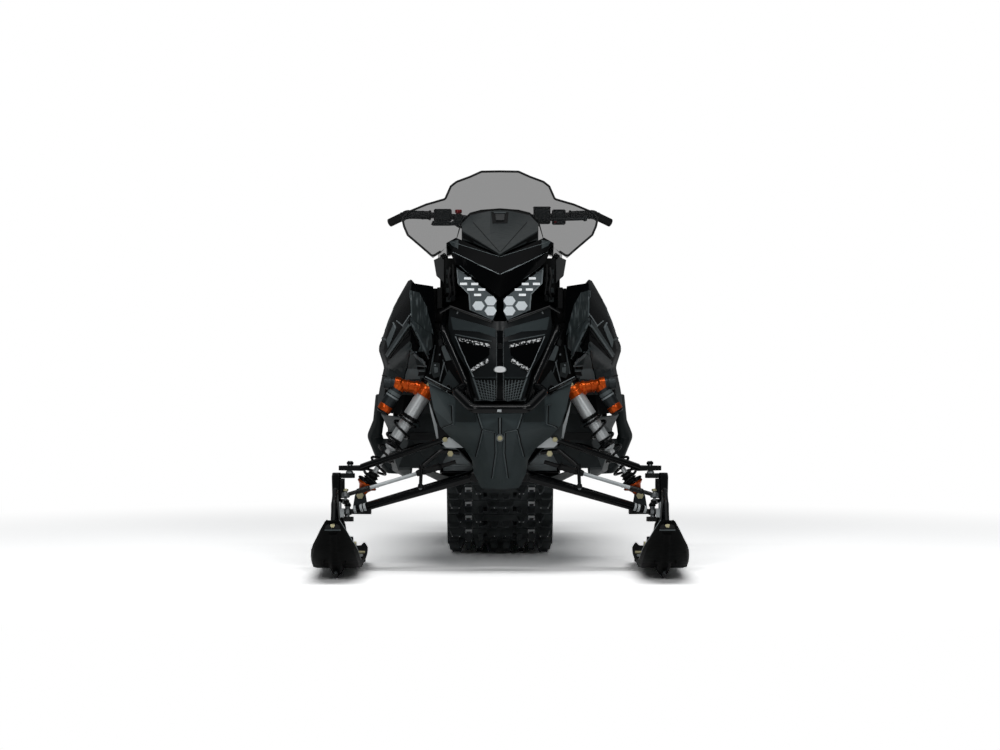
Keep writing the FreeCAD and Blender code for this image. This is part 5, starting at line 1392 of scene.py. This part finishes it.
# %% Rails, arms and dampers
Form("slide_rails").copy("bare_alloy").repaint(lambda c, n: c.z < 0.055, "deep_black").done(bevel=1)
arms = Form("skid_arms")
for (ty, tz), (ly, lz) in (((-95, 415), (190, 88)), ((600, 345), (905, 88))):
    for x, y, z in ((209, ty, tz), (108, ly, lz)):
        arms.bar(P(-x, y, z), P(x, y, z), 15, "powder_black")
    for s in (-1, 1):
        arms.bar(P(s * 150, ty, tz), P(s * 85, ly, lz), 14, "powder_black")
arms.done(bevel=0.6)
skid = Form("skid_dampers")
for (ty, tz), (ly, lz) in (((-80, 395), (255, 92)), ((590, 322), (440, 92))):
    top, low = P(0, ty, tz), P(0, ly, lz)
    run, size = (low - top).normalized(), (low - top).length / MM
    turned(skid, (((20, 20), (24, 24), (0.55 * size, 24), (0.56 * size, 18)), "polished"),
           (((0.56 * size, 8), (size - 30, 8)), "chrome_rod"),
           (((size - 50, 30), (size - 44, 30), (size - 40, 16), (size - 10, 14)), "anodised_orange"),
           a=top, b=low, sides=32)
    side = run.cross(LEFT)
    skid.pipe([top + run * ((60 + (size - 115) * k / 120) * MM)
               + (LEFT * math.cos(k * 0.36) + side * math.sin(k * 0.36)) * (31 * MM)
               for k in range(121)], 4.2, "powder_black", 0.1, 8)
    for spot in (top, low):
        skid.turn(drum(14, 28, 2, 2), spot - P(14, 0, 0), spot, "plain_steel")
    skid.bar(P(-108, ly, lz), P(108, ly, lz), 9, "plain_steel", 16)
skid.done("skid_shocks", bevel=0)

# %% [markdown]
# ## Chassis behind the nose
# Tunnel, boards, bulkhead and flap are sheet metal and moulded sheet. What makes them read is small:
# pressed ribs, perforated traction boards, rows of rivets, and bolts where the arms hang.

# %% Bulkhead, engine block
def deck(y):
    """Height of the tunnel's roof at y, in millimetres."""
    return 592 - (y + 340) * 84 / 1675


bulkhead = Form("bulkhead").copy("powder_black")
bulkhead.repaint(lambda c, n: c.z < 0.575 and c.y < -1.0 and abs(c.x) > 0.08, "body_dark")
for s in (-1, 1):
    bulkhead.bar(P(s * 186, -1032, 458), P(s * 186, -1036, 458), 12.5, "plain_steel")
    bulkhead.bolt(P(s * 186, -1034, 458), P(s * 186, -1044, 458), 9.2)
    bulkhead.bar(P(s * 186, -1034, 458), P(s * 186, -1050, 458), 5, "zinc_yellow", 16)
    bulkhead.bolt(P(s * 168, -1034, 410), P(s * 168, -1046, 410), 10.5)
    bulkhead.plate(((242, 590), (230, 552), (216, 510), (190, 466), (178, 452), (214, 450), (224, 500), (236, 550)),
                   -988, 4, "silver_knuckle", s=s)
    bulkhead.plate(((172, 466), (112, 430), (182, 430), (196, 444)), -1037, 3, "silver_knuckle", s=s)
    bulkhead.bolt(P(s * 241, -918, 637), P(s * 241, -912, 637), 12)
bulkhead.done(bevel=1.5)
engine = Form("engine_block").copy("cast_alloy")
for z in range(352, 609, 32):
    engine.block(-201, 201, -741, -422, z, z + 9, "cast_alloy")
engine.done(bevel=3)

# %% Tunnel with pressed ribs and its heat exchanger
tunnel = Form("tunnel").copy("bare_alloy")
for s in (-1, 1):
    for y in range(-180, 961, 190):
        top, low = deck(y) - 45, 352 + max(0, y - 780) * 0.16
        tunnel.plate(((y - 7, low), (y + 7, low), (y + 7, top), (y - 7, top)), s * 212, s * 3, "bare_alloy", "X")
    for y, z in ((-95, 415), (600, 345)):
        tunnel.bolt(P(s * 216, y, z), P(s * 224, y, z), 15)
tunnel.done(bevel=0.8)
cooler = Form("heat_exchanger")
for x in range(-160, 161, 20):
    cooler.slab([P(x + dx, 120, deck(120) - drop) for dx, drop in ((-3, 4), (3, 4), (3, 16), (-3, 16))],
                P(0, 1100, deck(1220) - deck(120)), "bare_alloy")
cooler.done(body="chassis", slot="tunnel_aluminium", bevel=0)
routes = []
for s in (-1, 1):
    routes.append([(P(s * 196, y, deck(y) + 0.2), Vector((0, 0.05, 1))) for y in (-320, 1300)])
    routes.append([(P(s * 212.2, y, deck(y) - 18), LEFT * s) for y in (-320, 1300)])
    routes.append([(P(s * 226, y, 330.2), UP) for y in (-300, 860)])
rivet = Form("rivet").turn(((0, 4.2), (1.2, 3.8), (2, 2.2)), P(0, 0, -0.2), UP, "plain_steel", 8)
grown("rivets", routes, 34, rivet, "plain_steel")

# %% Running boards: a perforated sheet from one cell
BOARD, THICK = 326, 4
X0, X1, Y0, CELL_Y, ROWS, ACROSS, HOLE = 228, 372, -186, 25.0, 31, 6, 9.0
Y1 = Y0 + CELL_Y * ROWS
boards = Form("running_boards")
for s in (-1, 1):
    for outline in (((212, -330), (X0, -330), (X0, 900), (212, 900)),
                    ((X0, -330), (380, -330), (391, -210), (X1, Y0), (X0, Y0)),
                    ((X1, Y0), (391, -210), (392, -200), (392, 620), (X1, Y1)),
                    ((X0, Y1), (X1, Y1), (392, 620), (340, 900), (X0, 900))):
        boards.plate(outline, BOARD, THICK, "bare_alloy", "Z", s)
    edge = ((378, -330), (392, -200), (392, 620), (340, 900), (212, 905))
    boards.pipe([P(s * x, y, BOARD + 2) for x, y in edge], 10, "powder_black")
boards.done(bevel=0.6)


def holed_row(s):
    """A strip of square cells across a board, each with a round hole through it."""
    row, w = Form("row"), (X1 - X0) / ACROSS
    square = (1, 0), (1, 1), (0, 1), (-1, 1), (-1, 0), (-1, -1), (0, -1), (1, -1)
    for k in range(ACROSS):
        middle = X0 + w * (k + 0.5)
        edge = [(middle + dx * w / 2, dy * CELL_Y / 2) for dx, dy in square]
        hole = [(middle + HOLE * math.cos(a), HOLE * math.sin(a)) for a in circle(8)]
        rims = [[row.mesh.verts.new(P(s * x, y, z)) for x, y in rim]
                for rim, z in ((edge, 0), (hole, 2.2), (hole, -THICK), (edge, -THICK))]
        for a, b in zip(rims, rims[1:]):
            row.band(a, b, "bare_alloy")
    return row


route = [(P(0, Y0 + CELL_Y * (k + 0.5), BOARD + THICK), UP) for k in (0, ROWS - 1)]
for side, s in SIDES:
    grown("board_holes_" + side, [route], ROWS, holed_row(-s), "bare_alloy", merge=1e-5)

# %% Toe holds, snow flap, tail light
WIDE = ((300, 14), (362, 34), (446, 40), (500, 26), (600, 18))  # how far a hold reaches inwards at a height
HOLD = ((360, -300, 318), (400, -340, 322), (424, -400, 362), (456, -440, 446), (434, -470, 500), (424, -505, 590))
toes = Form("toe_holds")
for s in (-1, 1):
    path = bent([P(s * x, y, z) for x, y, z in HOLD], 30)
    sections = []
    for i, spot in enumerate(path):
        way = (path[min(i + 1, len(path) - 1)] - path[max(i - 1, 0)]).normalized()
        flat = way.cross(FORWARD).normalized()
        flat = -flat if flat.x * s > 0 else flat
        deep, z = way.cross(flat), spot.z / MM
        inward = next(w0 + (w1 - w0) * (z - z0) / (z1 - z0) for (z0, w0), (z1, w1) in zip(WIDE, WIDE[1:]) if z <= z1)
        sections.append([spot + flat * ((inward if math.cos(a) > 0 else 13.5) * MM * math.cos(a))
                         + deep * (15 * MM * math.sin(a)) for a in circle(20)])
    toes.skin(sections, "body_dark")
    toes.plate(((418, 436), (374, 436), (358, 350), (362, 331), (396, 331), (422, 378)), -434, 4, "body_panel", s=s)
    toes.plate(((213, -384), (376, -384), (380, -378), (213, -378)), 331, 229, "body_black", "Z", s)
    toes.block(*sorted((s * 352, s * 384)), -400, -384, 331, 345, "body_black")
    for z in range(360, 521, 40):
        toes.block(*sorted((s * 232, s * 362)), -378, -374, z, z + 8, "body_black")
toes.done(bevel=1.5)
flap = Form("snow_flap").copy("soft_rubber")
for x in range(-176, 161, 56):
    flap.plate(((1350, 505.6), (1500, 403), (1500, 399), (1350, 501)), x, 16, "soft_rubber", "X")
flap.done(bevel=3)
tail_lamp = Form("tail_light").copy("lamp_red")
for k in range(6):
    z = 664 + 12 * k
    tail_lamp.block(-82 + k, 82 - k, 866 - k * 1.6, 873.5 - k * 1.9, z, z + 4, "lamp_red")
tail_lamp.done(bevel=3)

# %% Fuel cap and console details
cap = Form("fuel_cap")
cap.turn(((0, 40), (2, 44), (24, 43), (28, 38)), P(0, -250, 918), P(0, -250, 1000), "body_black", 40)
for a in circle(14):
    x, y = 43 * math.cos(a), 43 * math.sin(a) - 250
    cap.bar(P(x, y, 922), P(x, y, 942), 4, "body_black", 6)
cap.done(body="chassis", slot="plastic_grey", bevel=1)
dash = Form("console_details")
for x, finish in ((-60, "body_light"), (60, "switch_red")):
    dash.turn(((0, 12), (3, 12), (6, 9)), P(x, -470, 978), P(x, -460, 1040), finish, 24)
dash.turn(((0, 16), (6, 16), (10, 12)), P(0, -420, 946), P(0, -408, 1000), "powder_black", 24)
dash.done(body="chassis", slot="plastic_grey", bevel=0.8)

# %% [markdown]
# ## Seat
# The seat is padded, so it is made as foam under vinyl: a body a little smaller than its place,
# remeshed, blown up by cloth pressure, then smoothed. The piping and stitches are sewn on after.

# %% Seat, from rows of (y, half width, half width at the top, top, bottom)
SEAT_ROWS = ((46, 150, 110, 800, 590), (200, 150, 118, 782, 578), (450, 155, 135, 775, 565), (700, 150, 128, 790, 553),
             (830, 120, 100, 770, 620))
FOAM, LIFT, SWELL, FRAMES, SMOOTHED = 7, 2, 0.006, 20, 4  # the swell is a limit in metres


def seat_row(y, w, wt, zt, zb):
    """A section of the foam, smaller than the seat's place by FOAM."""
    w, wt, zt, zb = w - FOAM, wt - FOAM, zt - FOAM, zb + LIFT
    return [P(x, y, z) for x, z in ((-w * 0.85, zb), (w * 0.85, zb), (w, zb + 60), (w * 0.92, zt - 50), (wt * 0.8, zt),
                                    (-wt * 0.8, zt), (-w * 0.92, zt - 50), (-w, zb + 60))]


def settled():
    """The seat's mesh as its modifiers leave it, which then go."""
    data = bpy.data.meshes.new_from_object(seat.evaluated_get(bpy.context.evaluated_depsgraph_get()))
    seat.modifiers.clear()
    return data


foam = Form("seat")
foam.skin([seat_row(*row) for row in ((54, *SEAT_ROWS[0][1:]), *SEAT_ROWS[1:4], (822, *SEAT_ROWS[4][1:]))],
          "seat_vinyl")
seat = foam.done(bevel=0)
remesh = seat.modifiers.new("remesh", "REMESH")
remesh.mode, remesh.voxel_size = "VOXEL", 0.0075
bpy.context.view_layer.update()
seat.data = start = settled()
rest = [v.co.copy() for v in start.vertices]
held = seat.vertex_groups.new(name="held")
held.add([v.index for v in start.vertices if v.co.z < 0.60], 1.0, "REPLACE")
cloth = seat.modifiers.new("cloth", "CLOTH")
cloth.settings.use_pressure, cloth.settings.uniform_pressure_force = True, 4.0
cloth.settings.effector_weights.gravity = 0.0
cloth.settings.quality, cloth.settings.vertex_group_mass = 6, "held"
cloth.point_cache.frame_start, cloth.point_cache.frame_end = 1, FRAMES
for frame_number in range(1, FRAMES + 1):
    scene.frame_set(frame_number)
blown = settled()
for v, home in zip(blown.vertices, rest):
    step = v.co - home
    if step.length > SWELL:
        v.co = home + step.normalized() * SWELL
scene.frame_set(1)
blown.materials.clear()
blown.materials.append(M["seat_vinyl"])
seat.data = blown
smooth = bmesh.new()
smooth.from_mesh(blown)
for k in range(SMOOTHED):
    bmesh.ops.smooth_vert(smooth, verts=smooth.verts, factor=0.5, use_axis_x=True, use_axis_y=True, use_axis_z=True)
for f in smooth.faces:
    f.smooth = True
smooth.to_mesh(blown)
smooth.free()
print("seat swollen,", len(blown.polygons), "faces")

# %% Seams and stitches
STATIONS = range(78, 796, 24)
cushion = BVHTree.FromPolygons([v.co for v in seat.data.vertices], [list(f.vertices) for f in seat.data.polygons])


def on_seat(y, s, inset, above):
    """A point over the cushion by its upper edge at y, with s = -1 or 1 for the side."""
    i = max(j for j in range(4) if SEAT_ROWS[j][0] <= y or j == 0)
    a, b = SEAT_ROWS[i:i + 2]
    w, top = (a[c] + (b[c] - a[c]) * (y - a[0]) / (b[0] - a[0]) for c in (2, 3))
    high = P(s * ((w - 3) * 0.86 - inset), y, top + 40)
    return (cushion.ray_cast(high, -UP)[0] or high) + P(0, 0, above)


seam = Form("seat_piping")
for s in (-1, 1):
    seam.pipe([on_seat(y, s, 0, 0.6) for y in STATIONS], 2.8, "soft_rubber", 20, 8)
seam.done(body="chassis", slot="seat_cover", bevel=0)
stitch = Form("stitch").plate(((-0.7, 0), (0.7, 0), (0.4, 1), (-0.4, 1)), -2.6, 5.2, "thread")
grown("seat_stitches", [[(on_seat(y, s, 8, 0.3), UP) for y in STATIONS] for s in (-1, 1)], 110, stitch, "thread")

# %% [markdown]
# ## Between the grille and the side panels
# The gap there shows brackets, struts, hoses and connectors. None of them is large, but together
# they keep the gap from reading as a flat black wall. Each is a plate or a rod from a short table.

# %% Brackets, struts and hoses
PLATES = (
    (((203, 768), (186, 775), (165, 724), (186, 720)), -874, 5, "body_light"),
    (((175, 690), (138, 639), (172, 618), (203, 635)), -874, 6, "body_grey"),
    (((232, 716), (206, 712), (204, 668), (226, 660), (238, 686)), -880, 16, "body_dark"),
    (((226, 700), (212, 698), (212, 682), (224, 678)), -884, 6, "body_light"),
    (((212, 792), (198, 796), (196, 776), (208, 770)), -876, 8, "body_black"),
    (((196, 850), (184, 856), (170, 812), (180, 806)), -880, 10, "body_black"),
    (((176, 640), (150, 612), (168, 604), (196, 626)), -882, 6, "powder_black"))
RODS = (
    ((190, 717), (207, 650), -878, 2.2, "thin_line"), ((222, 775), (239, 676), -874, 2.6, "body_light"),
    ((229, 776), (245, 690), -872, 2.0, "powder_black"), ((200, 790), (206, 716), -872, 3.0, "powder_black"),
    ((214, 830), (190, 740), -868, 4.0, "hose_rubber"), ((205, 846), (176, 760), -868, 3.4, "hose_rubber"),
    ((196, 724), (168, 640), -870, 2.0, "body_light"))
clutter = Form("front_brackets")
for plate in PLATES:
    clutter.plate(*plate)
for (x0, z0), (x1, z1), y, r, finish in RODS:
    clutter.bar(P(x0, y, z0), P(x1, y, z1), r, finish, 12)
clutter.pipe([P(257, -925, 662), P(206, -935, 635), P(165, -950, 618)], 5.5, "powder_black", 20, 12)
clutter.pipe([P(214, -930, 640), P(196, -938, 610), P(182, -940, 586)], 4.5, "powder_black", 20, 12)
clutter.bar(P(255, -931, 668), P(168, -956, 625), 1.6, "thin_line", 8)
for x, z in ((206, 742), (222, 706)):
    clutter.bar(P(x, -886, z), P(x, -868, z), 3.5, "cast_alloy", 6)
clutter.mirrored().done(body="chassis", slot="plastic_black")
hoses = Form("front_hoses")
for k, (x, z) in enumerate(((142, 884), (118, 874), (94, 864))):
    y = -966 + 4 * k
    hoses.pipe([P(x + 16, -930, z + 10), P(x + 6, y + 8, z + 6), P(x - 8, y, z - 4), P(x - 12, -930, z - 14)],
               6.5, "hose_rubber", 12, 12)
    hoses.turn(drum(8.2, 6, 1, 1), P(x + 2, y + 4, z + 3), P(x - 6, y, z - 3), "plain_steel", 16)
hoses.pipe([P(170, -900, 1040), P(176, -912, 1010), P(168, -916, 960), P(176, -900, 930)], 4.5, "hose_rubber", 20, 10)
hoses.pipe([P(160, -900, 1050), P(160, -916, 1000), P(154, -912, 950), P(160, -900, 925)], 3.5, "hose_rubber", 20, 10)
for z in (1030, 1000, 968, 936):
    hoses.block(153, 166, -886, -870, z - 8, z + 8, "body_black")
    hoses.block(168, 184, -882, -870, z - 14, z + 2, "body_dark")
hoses.mirrored().done(body="chassis", slot="rubber_black", bevel=1)

# %% Thin rails along the grille, with thin light rods beside them as painted highlights
rails = Form("grille_rails")
for off, finish, r in ((14, "thin_line", 1.1), (17, "powder_black", 4.2), (25, "thin_line", 1.4),
                       (30, "powder_black", 3.6)):
    rails.bar(P(178 + off, -930, 822), P(112 + off * 0.6, -1002, 662), r, finish, 14)
rails.mirrored().done(body="chassis", slot="frame_black", bevel=0)

# %% Sizes, and the end
low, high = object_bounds()
print("visual box", [round(v, 4) for v in low], [round(v, 4) for v in high])
